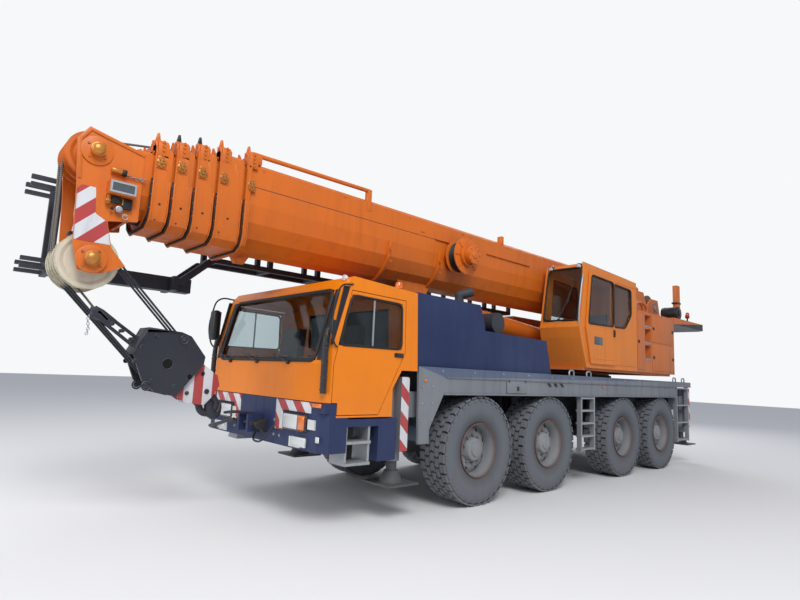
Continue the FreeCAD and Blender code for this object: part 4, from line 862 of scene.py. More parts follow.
# %% Corner trims and ducts
for side_name, side in (("left", 1), ("right", -1)):
    form = bmesh.new()
    path = [(2470, SIDE_Y - 60, 2060), (2492, SIDE_Y - 48, 1980), (2504, SIDE_Y - 40, 1860), (2506, SIDE_Y - 36, 1700),
            (2506, SIDE_Y - 36, 1520), (2502, SIDE_Y - 36, 1400)]
    for start, end in zip(path, path[1:]):
        rod(form, mirrored([start], side)[0], mirrored([end], side)[0], 33, segments=20)
    for z in (1890, 1720, 1560, 1430):
        rod(form, Vector((2506, side * (SIDE_Y - 36), z)), Vector((2506, side * (SIDE_Y - 36), z + 16)), 37, segments=20)
    finish_piece("corner_duct_" + side_name, form, black_paint, "carrier", 40)

    form = bmesh.new()
    outline = [(2440, 1900), (2470, 1900), (2344, 2530), (2262, 2530)]
    plate(form, outline, side * (SIDE_Y - 10), side * (SIDE_Y + 5), "y", 4)
    finish_piece("pillar_trim_" + side_name, form, black_paint, "carrier")
    form = bmesh.new()
    for y0, y1 in ((SCREEN_HALF + 26, SIDE_Y - 112),):
        for z0, z1 in ((1740, 2510),):
            low_a, low_b = on_screen(side * y0, z0, 3), on_screen(side * y1, z0, 3)
            corners = [(low_a.y, z0), (low_b.y, z0), (low_b.y, z1), (low_a.y, z1)]
            plate(form, corners, 0, 6, "x", 2)
    lean = Matrix(((1, 0, SCREEN_SLOPE, 2505 - SCREEN_SLOPE * 1700), (0, 1, 0, 0), (0, 0, 1, 0), (0, 0, 0, 1)))
    bmesh.ops.transform(form, matrix=lean, verts=form.verts)
    finish_piece("screen_side_trim_" + side_name, form, black_paint, "carrier")

# %% [markdown]
# The roof carries a raised cap with a visor lip over the windscreen, and behind the cab a black triangular
# rest holds the boom on the road. Here the roof gets a small lamp at its front corner and round amber beacons.

# %% Roof lamp and beacons
form = bmesh.new()
rod(form, (2230, SIDE_Y - 130, 2640), (2262, SIDE_Y - 130, 2640), 34, segments=24, amount=6)
finish_piece("roof_corner_lamp", form, clear_lens, "carrier")
for side_name, side in (("left", 1), ("right", -1)):
    form = bmesh.new()
    rod(form, (1400, side * (SIDE_Y - 190), 2600), (1400, side * (SIDE_Y - 190), 2640), 44, segments=24, amount=5)
    finish_piece("beacon_base_" + side_name, form, black_paint, "carrier")
    form = bmesh.new()
    rod(form, (1400, side * (SIDE_Y - 190), 2640), (1400, side * (SIDE_Y - 190), 2722), 52, 40, 32, 12)
    finish_piece("beacon_" + side_name, form, amber_lens, "carrier")

# %% [markdown]
# The mirrors are large because the crane is long. On the left an arm leaves the roof edge and comes down
# in front of the door to a small black head. On the right a tall housing stands out ahead of the pillar.

# %% Mirrors
tube("mirror_arm_left", [(2230, SIDE_Y + 4, 2560), (2420, SIDE_Y + 50, 2500), (2500, SIDE_Y + 66, 2250),
                         (2500, SIDE_Y + 62, 2020), (2440, SIDE_Y + 30, 1905), (2392, SIDE_Y + 8, 1880)],
     9, black_paint, "carrier")
form = bmesh.new()
block(form, 2478, 2522, SIDE_Y + 34, SIDE_Y + 84, 2010, 2150, 12)
finish_piece("mirror_joint_left", form, black_paint, "carrier")
tube("mirror_arm_right", [(2240, -SIDE_Y, 2580), (2480, -SIDE_Y - 30, 2560), (2540, -SIDE_Y - 60, 2420),
                          (2540, -SIDE_Y - 60, 1960), (2470, -SIDE_Y - 10, 1850)], 11, black_paint, "carrier")
form = bmesh.new()
block(form, 2480, 2576, -SIDE_Y - 88, -SIDE_Y + 84, 1985, 2400, 34)
finish_piece("mirror_housing_right", form, black_paint, "carrier", 50)
form = bmesh.new()
block(form, 2474, 2482, -SIDE_Y - 76, -SIDE_Y + 72, 2005, 2380, 3)
finish_piece("mirror_face_right", form, chrome, "carrier")

# %% [markdown]
# ## Bumper
# The navy bumper carries everything the road law asks for: headlamps, fog lamps, turn lamps, markers and
# the red and white width plates. In front hang the tow brackets and a folded tow bar.

# %% Bumper lamps and width plates
BUMPER_X = 2500.0
for side_name, side in (("left", 1), ("right", -1)):
    form = bmesh.new()
    outline = [(side * 434, 1296), (side * 1150, 1296), (side * 1150, 1186), (side * 606, 1186), (side * 606, 968),
               (side * 434, 968)]
    plate(form, outline, BUMPER_X, BUMPER_X + 5, "x", 1)
    finish_piece("width_plate_" + side_name, form, width_bands, "carrier")

    form = bmesh.new()
    block(form, BUMPER_X, BUMPER_X + 26, side * 628, side * 1090, 985, 1172, 22)
    finish_piece("headlamp_bezel_" + side_name, form, black_paint, "carrier")
    form = bmesh.new()
    block(form, BUMPER_X + 20, BUMPER_X + 34, side * 652, side * 930, 1002, 1155, 12)
    finish_piece("headlamp_lens_" + side_name, form, clear_lens, "carrier")
    form = bmesh.new()
    block(form, BUMPER_X + 20, BUMPER_X + 33, side * 944, side * 1070, 1002, 1155, 12)
    block(form, BUMPER_X + 2, BUMPER_X + 24, side * 1178, side * 1340, 1252, 1294, 8)
    finish_piece("turn_lens_" + side_name, form, amber_lens, "carrier")
    form = bmesh.new()
    block(form, BUMPER_X, BUMPER_X + 30, side * 812, side * 1100, 829, 930, 14)
    finish_piece("fog_lamp_" + side_name, form, clear_lens, "carrier")
    form = bmesh.new()
    block(form, BUMPER_X, BUMPER_X + 12, side * 1262, side * 1322, 905, 965, 6)
    finish_piece("marker_lens_" + side_name, form, clear_lens, "carrier")

# %% Tow brackets, bar and cable
form = bmesh.new()
for y in (-250, -120, 120, 250):
    outline = [(BUMPER_X - 10, 1060), (BUMPER_X + 40, 1060), (2650, 1015), (2650, 975), (BUMPER_X + 40, 900), (BUMPER_X - 10, 900)]
    plate(form, outline, y - 11, y + 11, "y", 3)
rod(form, (2622, -275, 998), (2622, 275, 998), 19, segments=16, amount=3)
finish_piece("tow_brackets", form, black_paint, "carrier")
tube("tow_bar", [(2620, -330, 998), (2640, -420, 985), (2650, -640, 930), (2648, -880, 880), (2620, -1000, 860),
                 (2560, -1010, 858), (2496, -1010, 862)], 22, black_paint, "carrier")
tube("bumper_cable", [(2502, 420, 1000), (2560, 430, 930), (2600, 380, 850), (2590, 200, 800), (2560, 60, 830),
                      (2504, 20, 900)], 11, rubber, "carrier")
form = bmesh.new()
bolts(form, [(BUMPER_X, y, z) for y in (-560, -420, 420, 545) for z in (1060, 900)], "x", 1, 12, 10)
finish_piece("bumper_bolts", form, zinc, "carrier")

# %% [markdown]
# ## Deck and hoods
# The long deck edge is a folded sheet with a lip. It has a tool hatch, three slanted vents and ladders
# with loops to hold. The hoods are plain folded boxes, so bolts and a latch give them scale.

# %% Deck edge fittings
DECK_SIDE = SIDE_Y
for side_name, side in (("left", 1), ("right", -1)):
    form = bmesh.new()
    block(form, -6470, 740, side * (DECK_SIDE - 6), side * (DECK_SIDE + 9), 1402, 1420, 3)
    block(form, -6470, 700, side * (DECK_SIDE - 6), side * (DECK_SIDE + 6), 1608, 1620, 3)
    finish_piece("fender_lip_" + side_name, form, dusty_grey, "carrier")
    form = bmesh.new()
    block(form, -985, -520, side * (DECK_SIDE - 6), side * (DECK_SIDE + 16), 1436, 1604, 6)
    finish_piece("tool_hatch_" + side_name, form, dusty_grey, "carrier")
    form = bmesh.new()
    block(form, -790, -740, side * (DECK_SIDE + 14), side * (DECK_SIDE + 26), 1470, 1530, 5)
    rod(form, (-765, side * (DECK_SIDE + 16), 1500), (-765, side * (DECK_SIDE + 34), 1500), 12, segments=12)
    block(form, -960, -930, side * (DECK_SIDE + 10), side * (DECK_SIDE + 24), 1585, 1612, 4)
    block(form, -570, -540, side * (DECK_SIDE + 10), side * (DECK_SIDE + 24), 1585, 1612, 4)
    finish_piece("hatch_latch_" + side_name, form, black_paint, "carrier")
    form = bmesh.new()
    for x in (-1560, -1740, -1920):
        outline = [(x - 100, 1545), (x - 30, 1545), (x + 20, 1595), (x - 50, 1595)]
        plate(form, outline, side * (DECK_SIDE - 2), side * (DECK_SIDE + 4), "y", 2)
    finish_piece("fender_vents_" + side_name, form, black_paint, "carrier")
    form = bmesh.new()
    places = [(x, side * (DECK_SIDE + 1), 1690) for x in range(-7150, 1100, 610)]
    places += [(x, side * (DECK_SIDE + 1), z) for x in (950, 1120) for z in (1500, 1300, 1100)]
    bolts(form, places, "y", side, 11, 9)
    finish_piece("deck_bolts_" + side_name, form, zinc, "carrier")
    form = bmesh.new()
    block(form, 1060, 1110, side * (DECK_SIDE + 1), side * (DECK_SIDE + 14), 1560, 1585, 5)
    block(form, -3300, -3250, side * (DECK_SIDE + 1), side * (DECK_SIDE + 14), 1560, 1585, 5)
    finish_piece("side_marker_" + side_name, form, amber_lens, "carrier")

# %% Grab loops over the ladders, low enough for the turntable to pass
for index, x in enumerate((-2400, -2960, -6640, -7120)):
    path = [(x - 60, DECK_SIDE - 90, 1733), (x - 60, DECK_SIDE - 90, 1795), (x - 30, DECK_SIDE - 90, 1815),
            (x + 50, DECK_SIDE - 90, 1815), (x + 80, DECK_SIDE - 90, 1795), (x + 80, DECK_SIDE - 90, 1733)]
    tube(f"grab_loop_{index}", path, 14, zinc, "carrier", smooth=False)

# %% [markdown]
# ## Boom
# Each collar is the thick end of a boom section. A boxy shell with ribs wraps it, and it carries bolted
# guide blocks with spikes, a cluster of rollers, a rubber seal and flange bolts. A table of the five
# collars makes them all, and each row rides its own section.

# %% Collars and their fittings
BOOM_HALF, BOOM_LOW, BOOM_TOP, PLATE_TOP = 420, 2930, 3940, 3470
LIP, GUIDE_RISE, GUIDE_WIDTH = 32, 105, 110
COLLARS = (
    # body, rear and front, side inset, top inset, colour of the spike
    ("boom", 3040, 3100, 0, 0, crane_orange),
    ("section_1", 3124, 3410, 24, 24, crane_orange),
    ("section_2", 3434, 3640, 45, 64, black_paint),
    ("section_3", 3664, 3850, 66, 104, black_paint),
    ("section_4", 3874, 4050, 87, 144, crane_orange),
)


def collar_line(half, low):
    """The boxy outline of a collar from its left side seam round below to the right one."""
    left = [(half, PLATE_TOP), (half, low + 170), (half - 36, low + 66), (half - 140, low)]
    return left + [(-y, z) for y, z in reversed(left)]


def wrap(form, half, low, inner, x0, x1, amount=0):
    """A U-shaped shell round a collar."""
    plate(form, collar_line(half, low) + list(reversed(collar_line(half - inner, low + inner))), x0, x1, "x", amount)


for body, rear, front, side_in, top_in, spike in COLLARS:
    half, low, top = BOOM_HALF - side_in + LIP, BOOM_LOW + side_in - LIP, BOOM_TOP - top_in
    high = top + GUIDE_RISE
    form = bmesh.new()
    wrap(form, half, low, 9, rear, front - 10)
    wrap(form, half + 18, low - 18, 24, front - 16, front, 2)
    wrap(form, half + 9, low - 9, 12, rear, rear + 12, 2)
    for side in (-1, 1):
        corner = [(half, top - 85), (half, high - 50), (half - 50, high), (half - GUIDE_WIDTH, high),
                  (half - GUIDE_WIDTH, top - 85)]
        corner = [(side * y, z) for y, z in corner]
        plate(form, corner, front - 130, front - 20, "x", 4)
        plate(form, corner, front - 16, front, "x", 2)
        reach = rear + 0.25 * (front - rear)
        web = [(rear, PLATE_TOP), (rear + 26, PLATE_TOP), (reach + 50, top - 65), (reach, top - 65)]
        plate(form, web, side * (half - 26), side * half, "y", 2)
        block(form, front - 120, front - 4, side * (half - 30), side * (half + 8), 3588, 3690, 5)
        bolts(form, [(front - 75, side * half, top + lift) for lift in (75, 30, -15, -60)], "y", side, 12, 9)
        bolts(form, [(front, side * (half - 55), top + lift) for lift in (65, -40)], "x", 1, 12, 10)
        bolts(form, [(front + 1, side * (half + 9), z) for z in (3160, 3300, 3430)], "x", 1, 6, 8)
    finish_piece("collar_shell_" + body, form, crane_orange, body)
    form = bmesh.new()
    wrap(form, half + 4, low - 4, 18, front + 0.5, front + 15, 2)
    for side in (-1, 1):
        if front - rear > 100:
            rod(form, ((rear + front) / 2, side * (half - 2), 3218), ((rear + front) / 2, side * (half + 2), 3218), 13)
            rod(form, (front - 60, side * (half - 2), 3050), (front - 60, side * (half + 2), 3050), 9)
    finish_piece("collar_seal_" + body, form, rubber, body)
    form = bmesh.new()
    for side in (-1, 1):
        hub_y = side * (half + 6)
        rod(form, (front - 62, hub_y, 3642), (front - 62, hub_y + side * 12, 3642), 50, segments=24, amount=3)
        around = [(front - 62 + 36 * math.cos(turn), hub_y + side * 11, 3642 + 36 * math.sin(turn))
                  for turn in (math.tau * step / 6 for step in range(6))]
        bolts(form, around, "y", side, 8, 10)
        rod(form, (front - 62, hub_y + side * 8, 3642), (front - 62, hub_y + side * 26, 3642), 18, 12)
        block(form, front - 96, front - 28, hub_y - side * 30, hub_y - side * 4, 3692, 3716, 4)
    finish_piece("collar_rollers_" + body, form, brass, body)
    form = bmesh.new()
    for side in (-1, 1):
        spike_y = side * (half - 70)
        cap = [(front - 54, high - 6), (front - 3, high - 6), (front - 18, high + 76), (front - 38, high + 76)]
        plate(form, cap, spike_y - 14, spike_y + 14, "y", 3)
    finish_piece("collar_spikes_" + body, form, spike, body)
print("collars dressed:", len(COLLARS))

# %% [markdown]
# The bellies of the collars never see the sun. Their downward faces get a near-black finish by the direction
# they face: painted shade under the sections, in a greasy colour. The base tube has a fine dark seam, a reel
# with its cable wound on, and clips and bolts where the saddles and the guard rail sit.

# %% Base tube details
# The downward faces of the boom sections turn near black: painted shade.
for name in ("boom_section_1", "boom_section_2", "boom_section_3", "boom_section_4", "boom_section_5"):
    refinish(name, underside_shade, lambda p: False, facing=lambda n: n.z < -0.75)
for side_name, side in (("left", 1), ("right", -1)):
    form = bmesh.new()
    block(form, -87, 3036, side * (BOOM_HALF - 1), side * (BOOM_HALF + 1.5), 3655, 3662)
    finish_piece("boom_seam_" + side_name, form, black_paint, "boom")
    form = bmesh.new()
    places = [(x, side * (BOOM_HALF + 34), z) for x in (922, -68) for z in (3160, 3330)]
    bolts(form, places, "y", side, 14, 12)
    bolts(form, [(x, side * BOOM_HALF, 3870) for x in range(-6400, 2900, 1160)], "y", side, 11, 8)
    block(form, 250, 330, side * (BOOM_HALF - 1), side * (BOOM_HALF + 8), 3710, 3760, 3)
    rod(form, (-2650, side * BOOM_HALF, 3810), (-2650, side * (BOOM_HALF + 10), 3810), 20, amount=2)
    rod(form, (-4300, side * BOOM_HALF, 3520), (-4300, side * (BOOM_HALF + 10), 3520), 34, amount=3)
    finish_piece("boom_bolts_" + side_name, form, crane_orange, "boom")

# %% Saddles, guard rail, lug and cable reel
BELLY_Z = 3450


def belly(half, depth):
    """The faceted underside of the boom, from left to right."""
    return [(half * math.cos(math.pi * step / 8), BELLY_Z - depth * math.sin(math.pi * step / 8)) for step in range(9)]


form = bmesh.new()
for x in (900, -90):
    plate(form, belly(BOOM_HALF + 34, 560) + list(reversed(belly(BOOM_HALF - 2, 518))), x, x + 45, "x", 2)
rail_y = BOOM_HALF - 30
rod(form, (3020, rail_y, BOOM_TOP + 105), (1300, rail_y, BOOM_TOP + 130), 27, segments=20)
block(form, 2910, 3080, rail_y - 28, rail_y + 28, BOOM_TOP - 4, BOOM_TOP + 118, 5)
block(form, 1280, 1350, rail_y - 30, rail_y + 36, BOOM_TOP - 160, BOOM_TOP + 140, 5)
block(form, -1660, -1600, rail_y - 60, rail_y + 34, BOOM_TOP - 40, BOOM_TOP + 110, 5)
for x0, x1 in ((-2420, -1190), (-300, 20)):
    block(form, x0, x1, BOOM_HALF - 4, BOOM_HALF + 26, BELLY_Z + 205, BELLY_Z + 225, 3)
lug = [(2775, 2950), (3035, 2950), (2965, 2835), (2845, 2835)]
plate(form, lug, -30, 30, "y", 4)
ring_at = Vector((2905, 0, 2878))
rod(form, ring_at - Vector((0, 42, 0)), ring_at + Vector((0, 42, 0)), 40, segments=24, amount=4)
finish_piece("boom_carriers", form, crane_orange, "boom")

REEL_X, REEL_Z, REEL_CORE = -434, BELLY_Z, 208
form = bmesh.new()
for y0, y1, radius in ((-4, 60, 90), (50, 64, 275), (60, 230, 205), (225, 245, 283), (240, 300, 165), (290, 400, 140)):
    rod(form, (REEL_X, BOOM_HALF + y0, REEL_Z), (REEL_X, BOOM_HALF + y1, REEL_Z), radius, segments=48, amount=4)
finish_piece("reel_frame", form, crane_orange, "boom")
form = bmesh.new()
ring_line = [(BOOM_HALF + 66, REEL_CORE)]
for turn in range(8):
    y = BOOM_HALF + 68 + turn * 19
    ring_line += [(y + 3, REEL_CORE + 14), (y + 9.5, REEL_CORE + 20), (y + 16, REEL_CORE + 14), (y + 19, REEL_CORE + 4)]
spin_outline(form, ring_line, 48)
bmesh.ops.translate(form, verts=form.verts, vec=(REEL_X, 0, REEL_Z))
finish_piece("reel_cable", form, rubber, "boom")
form = bmesh.new()
for step in range(8):
    turn = math.tau * step / 8
    bolts(form, [(REEL_X + 115 * math.cos(turn), BOOM_HALF + 400, REEL_Z + 115 * math.sin(turn))], "y", 1, 10, 9)
    inner, outer = Vector((math.cos(turn), 0, math.sin(turn))) * 175, Vector((math.cos(turn), 0, math.sin(turn))) * 272
    middle = Vector((REEL_X, BOOM_HALF + 248, REEL_Z))
    rod(form, middle + inner, middle + outer, 9, segments=10)
rod(form, (REEL_X, BOOM_HALF + 398, REEL_Z), (REEL_X, BOOM_HALF + 416, REEL_Z), 62, 50, 28, 3)
finish_piece("reel_hub", form, crane_orange, "boom")

# %% [markdown]
# ## Boom head
# The head has white and red bands on its legs and chevrons on its front, as a warning at eye height. The
# bands are painted by a stripe group, so they stay at the real width and angle wherever the plate ends.

# %% Bands, chevrons and domed pins
TOP_X, LOW_X, TOP_Z, LOW_Z, HEAD_HALF = 4560, 4500, 3600, 2560, 330
LEG = ((4684, 3200), (4645, 3245), (4530, 3245), (4508, 3000), (4485, 2985), (4403, 2940), (4352, 2722), (4659, 2722))
for side_name, side in (("left", 1), ("right", -1)):
    form = bmesh.new()
    plate(form, LEG, side * (HEAD_HALF + 0.5), side * (HEAD_HALF + 3), "y")
    finish_piece("head_bands_" + side_name, form, head_bands, "section_5")
    form = bmesh.new()
    for x, z, base, face, reach, radius in ((TOP_X, TOP_Z, 400, 345, 30, 58), (LOW_X, LOW_Z, 410, 366, 26, 62)):
        dome = [(side * (base - 1), radius + 8), (side * (base + 4), radius + 8), (side * (base + 6), radius - 2)]
        for step in range(1, 7):
            turn = math.pi / 2 * step / 6
            dome.append((side * (base + 6 + reach * math.sin(turn)), (radius - 2) * math.cos(turn)))
        dome_form = bmesh.new()
        spin_outline(dome_form, dome, 40)
        bmesh.ops.translate(dome_form, verts=dome_form.verts, vec=(x, 0, z))
        part = bpy.data.meshes.new("dome")
        dome_form.to_mesh(part)
        dome_form.free()
        form.from_mesh(part)
        bpy.data.meshes.remove(part)
        around = [(x + (radius + 36) * math.cos(a), side * face, z + (radius + 36) * math.sin(a))
                  for a in (0.6, 2.2, 3.8, 5.4)]
        bolts(form, around, "y", side, 9, 10)
    finish_piece("head_pins_" + side_name, form, brass, "section_5")
    form = bmesh.new()
    band = [(4136, 3699), (4480, 3779), (4640, 3818), (4729, 3680), (4692, 3300), (4658, 3302), (4692, 3672),
            (4622, 3780), (4486, 3744), (4136, 3664)]
    plate(form, band, side * (HEAD_HALF - 1), side * (HEAD_HALF + 10), "y", 3)
    rod(form, (TOP_X, side * (HEAD_HALF - 1), TOP_Z), (TOP_X, side * (HEAD_HALF + 14), TOP_Z), 142, segments=48, amount=4)
    rod(form, (LOW_X, side * (HEAD_HALF - 1), LOW_Z), (LOW_X, side * (HEAD_HALF + 35), LOW_Z), 132, segments=48, amount=4)
    finish_piece("head_band_" + side_name, form, crane_orange, "section_5")

form = bmesh.new()
block(form, 4570.5, 4578, -298, 298, 2862, 3345)
finish_piece("head_chevrons", form, head_chevrons, "section_5")
form = bmesh.new()
block(form, 4576, 4640, -150, -40, 2840, 2868, 4)
block(form, 4560, 4600, -120, 120, 2826, 2862, 6)
finish_piece("head_front_block", form, black_paint, "section_5")

# %% [markdown]
# The left side of the head has small fittings: a hose end, a chain, a framed plate that is left blank, a
# cock and a shackle. They are small, but at eye height they're what shows that the head is a machine.

# %% Head fittings
def ring(form, centre, axis, radius, thick, steps=20, sides=8):
    """A round ring of bar, spun from a small circle."""
    axis = Vector(axis).normalized()
    across = axis.orthogonal().normalized()
    turn = Matrix((across, axis, across.cross(axis))).transposed().to_4x4()
    at = Vector(centre) + across * radius
    made = bmesh.ops.create_circle(form, segments=sides, radius=thick, matrix=Matrix.Translation(at) @ turn)
    verts = made["verts"]
    edges = list({edge for vert in verts for edge in vert.link_edges})
    bmesh.ops.spin(form, geom=verts + edges, cent=Vector(centre), axis=axis, angle=math.tau, steps=steps,
                   use_merge=True)


form = bmesh.new()
frame_line = [(4205, 3212), (4436, 3212), (4436, 3328), (4205, 3328), (4205, 3212.5), (4224, 3231), (4224, 3309),
              (4417, 3309), (4417, 3231), (4224.5, 3231)]
plate(form, frame_line, 439, 448, "y")
finish_piece("plate_frame", form, zinc, "section_5")
form = bmesh.new()
block(form, 4222, 4419, 438, 443, 3229, 3311)
finish_piece("blank_plate", form, dark_panel, "section_5")
form = bmesh.new()
rod(form, (4426, 362, 3450), (4332, 362, 3444), 27, segments=24, amount=4)
rod(form, (4424, 372, 3110), (4424, 372, 3195), 17, segments=6)
rod(form, (4424, 372, 3130), (4424, 372, 3150), 24, segments=16)
rod(form, (4296, 360, 3120), (4296, 360, 3180), 12)
finish_piece("head_brass", form, brass, "section_5")
form = bmesh.new()
rod(form, (4330, 362, 3444), (4292, 362, 3440), 33, segments=12, amount=3)
block(form, 4318, 4400, 346, 384, 3128, 3196, 6)
block(form, 4210, 4300, 332, 372, 3090, 3190, 8)
rod(form, (4400, 372, 3072), (4372, 372, 3068), 15)
finish_piece("head_black_fittings", form, black_paint, "section_5")
form = bmesh.new()
for step in range(7):
    x, z = 4276 - step * 26, 3432 - 10 * math.sin(math.pi * step / 6)
    ring(form, (x, 346, z), (0, 1, 0.2) if step % 2 else (0, 0.2, 1), 14, 4.5, 16, 6)
rod(form, (4286, 362, 3435), (4296, 362, 3436), 20, segments=16, amount=4)
rod(form, (4326, 350, 3074), (4326, 386, 3074), 32, segments=28, amount=4)
rod(form, (4326, 384, 3074), (4326, 392, 3074), 18)
ring(form, (4262, 366, 3012), (0, 1, 0), 24, 5)
rod(form, (4290, 366, 3030), (4240, 366, 3030), 7)
finish_piece("head_chain", form, zinc, "section_5")

# %% [markdown]
# ## Ropes
# The hoist rope leaves the winch, lies over the boom, turns over the top sheave and runs down to the low
# sheaves. Each stretch between two sections is a piece of its own; a stretch that spans two bodies rides
# none of them and stays where it is placed.

# %% Hoist rope
ROPE = 12
ROPE_LINE = ((-6930.0, 3966.0), (3060.0, 4085.0), (TOP_X, TOP_Z + 217.0))


def rope_at(x):
    """A place on the rope where it lies over the boom."""
    (x0, z0), (x1, z1) = ROPE_LINE[:2] if x <= ROPE_LINE[1][0] else ROPE_LINE[1:]
    return (x, 0, z0 + (z1 - z0) * (x - x0) / (x1 - x0))


stops = [("boom", -6930.0), ("boom", 3060.0), ("section_1", 3380.0), ("section_2", 3610.0), ("section_3", 3820.0),
         ("section_4", 4020.0), ("section_5", 4120.0)]
for index, ((body, x0), (next_body, x1)) in enumerate(zip(stops, stops[1:])):
    steps = 12 if x1 - x0 > 1000 else 3
    line = [rope_at(x0 + (x1 - x0) * step / steps) for step in range(steps + 1)]
    whole = body == next_body
    piece = tube(f"hoist_rope_{index}", line, ROPE, rope_finish, body if whole else None, smooth=False, sides=2)
    if not whole:
        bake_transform(piece)
winch_line = [(-7713, 0, 3737), (-7340, 0, 3846), rope_at(-6930.0)]
piece = tube("hoist_rope_winch", winch_line, ROPE, rope_finish, None, smooth=False, sides=2)
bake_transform(piece)
over_top = [rope_at(4120.0)]
for step in range(13):
    turn = math.pi / 2 * (1 - step / 12)
    over_top.append((TOP_X + 217 * math.cos(turn), 0, TOP_Z + 217 * math.sin(turn)))
over_top.append((LOW_X + 251, 0, LOW_Z))
tube("hoist_rope_front", over_top, ROPE, rope_finish, "section_5", smooth=False, sides=2)
second = [(TOP_X + 217, -150, TOP_Z), (LOW_X + 251, -100, LOW_Z)]
tube("second_rope_front", second, ROPE, rope_finish, "section_5", smooth=False, sides=2)

# %% [markdown]
# ## Hook block
# The block hangs from the low sheaves and is tied back to the bumper for the road. Its cheeks are thick
# scratched plates with pins and lightening holes, whose black insides are painted shade; a rope socket is
# bolted to it, and the striped lower cheeks hold a forged hook that lies on its side.

# %% Block cheeks, socket and hook
BLOCK_HALF = 150
form = bmesh.new()
for side in (-1, 1):
    y = side * BLOCK_HALF
    for x, z, radius in ((3498, 1887, 42), (3833, 1398, 42)):
        ring(form, (x, y + side * 4, z), (0, 1, 0), radius, 9, 28)
        rod(form, (x, y, z), (x, y + side * 10, z), radius - 12, segments=24, amount=2)
        rod(form, (x, y + side * 8, z), (x, y + side * 22, z), 14, segments=6)
    bolts(form, [(3911, y, 1793), (3966, y, 1640), (3783, y, 1905), (3797, y, 1447), (3560, y, 1400)], "y", side, 17, 12)
    ring(form, (3645, y + side * 1, 1628), (0, 1, 0), 56, 6, 32)
top_edge = [(3995, 1712), (3880, 1942), (3862, 1990), (3522, 1966), (3544, 1944), (3868, 1966), (3876, 1936), (3986, 1706)]
plate(form, top_edge, -BLOCK_HALF - 8, BLOCK_HALF + 8, "y", 2)
rod(form, (3400, -BLOCK_HALF, 1500), (3400, BLOCK_HALF, 1500), 26)
finish_piece("block_pins", form, block_black, "hook_block")
# Black discs fill the lightening holes in the cheeks: painted shade inside the holes.
form = bmesh.new()
for side in (-1, 1):
    rod(form, (3645, side * (BLOCK_HALF + 0.6), 1628), (3645, side * (BLOCK_HALF + 1.4), 1628), 52, segments=32)
finish_piece("block_hole_shade", form, hole_shade_black, "hook_block")

form = bmesh.new()
for y in (88, 158):
    frame_line = [(4371, 2150), (4300, 2118), (4171, 2026), (4232, 1954), (4403, 2056), (4371.5, 2149), (4352, 2094),
                  (4336, 2112), (4244, 2030), (4262, 2012), (4351.5, 2093)]
    plate(form, frame_line, y - 9, y + 9, "y", 3)
block(form, 4366, 4404, 90, 156, 2060, 2140, 6)
for a, b in (((4200, 2032), (3962, 1872)), ((4228, 1962), (4004, 1800))):
    for y in (100, 146):
        rod(form, (a[0], y, a[1]), (b[0], y, b[1]), 13, segments=12)
for x, z in ((4210, 1990), (4110, 1932), (4010, 1856)):
    rod(form, (x, 78, z), (x, 168, z), 20, segments=16, amount=3)
plate(form, [(3940, 1890), (3990, 1895), (4030, 1790), (3980, 1770)], 104, 142, "y", 5)
finish_piece("rope_socket", form, block_black, "hook_block")
tube("socket_rope", [(4640, 120, 2391), (4507, 122, 2270), (4380, 123, 2130)], 11, rope_finish, "hook_block")
form = bmesh.new()
for step in range(8):
    ring(form, (4412 + 5 * math.sin(step), 123, 2046 - step * 24), (0, 1, 0) if step % 2 else (1, 0.2, 0), 12, 4, 14, 6)
finish_piece("socket_chain", form, zinc, "hook_block")

CHEEK = ((3531, 1313), (3274, 1655), (3235, 1640), (3064, 1521), (3035, 1413), (3105, 1293), (3193, 1199), (3396, 1223))
form = bmesh.new()
for side in (-1, 1):
    plate(form, CHEEK, side * 73, side * 88, "y", 3)
finish_piece("hook_cheeks", form, hook_bands, "hook_block")
form = bmesh.new()
for side in (-1, 1):
    for x, z, radius in ((3238, 1539, 22), (3393, 1326, 22), (3177, 1346, 28)):
        rod(form, (x, side * 87, z), (x, side * 98, z), radius, segments=20, amount=3)
        rod(form, (x, side * 95, z), (x, side * 106, z), radius * 0.5, segments=6)
rod(form, (3238, -98, 1539), (3238, 98, 1539), 20)
finish_piece("hook_cheek_pins", form, block_black, "hook_block")

HOOK_LINE = (
    # x, z and half thickness along the forged hook
    (3160, 1350, 44), (3126, 1300, 46), (3105, 1215, 52), (3082, 1130, 58), (3046, 1092, 58),
    (3009, 1098, 48), (2984, 1140, 34), (2973, 1200, 20), (2976, 1240, 10),
)
form = bmesh.new()
rings = []
for index, (x, z, half) in enumerate(HOOK_LINE):
    back, ahead = HOOK_LINE[max(index - 1, 0)], HOOK_LINE[min(index + 1, len(HOOK_LINE) - 1)]
    run = Vector((ahead[0] - back[0], 0, ahead[1] - back[1])).normalized()
    turn = Matrix((run.cross(Vector((0, 1, 0))), Vector((0, 1, 0)), -run)).transposed().to_4x4()
    shape = Matrix.Translation((x, 0, z)) @ turn @ Matrix.Diagonal((1.0, 0.8, 1.0, 1.0))
    made = bmesh.ops.create_circle(form, segments=20, radius=half, matrix=shape, cap_ends=index in (0, len(HOOK_LINE) - 1))
    rings.append([edge for vert in made["verts"] for edge in vert.link_edges])
for first, second in zip(rings, rings[1:]):
    bmesh.ops.bridge_loops(form, edges=list({*first, *second}))
bmesh.ops.subdivide_edges(form, edges=[e for e in form.edges if e.calc_length() > 30], cuts=1, smooth=0.6)
finish_piece("forged_hook", form, block_black, "hook_block", 60)
strap_line = [(2562, 42, 1098), (2730, 42, 1116), (2880, 30, 1112), (2905, 0, 1108), (2880, -30, 1112),
              (2730, -42, 1116), (2562, -42, 1098)]
tube("hook_strap", strap_line, 13, block_black, "carrier")
# %% [markdown]
# ## Superstructure
# The operator's cabin, the machinery housings and the rear platform carry small fittings: window rubbers,
# handles, grab rails, filters and lamps. They all turn with the crane's upper part.

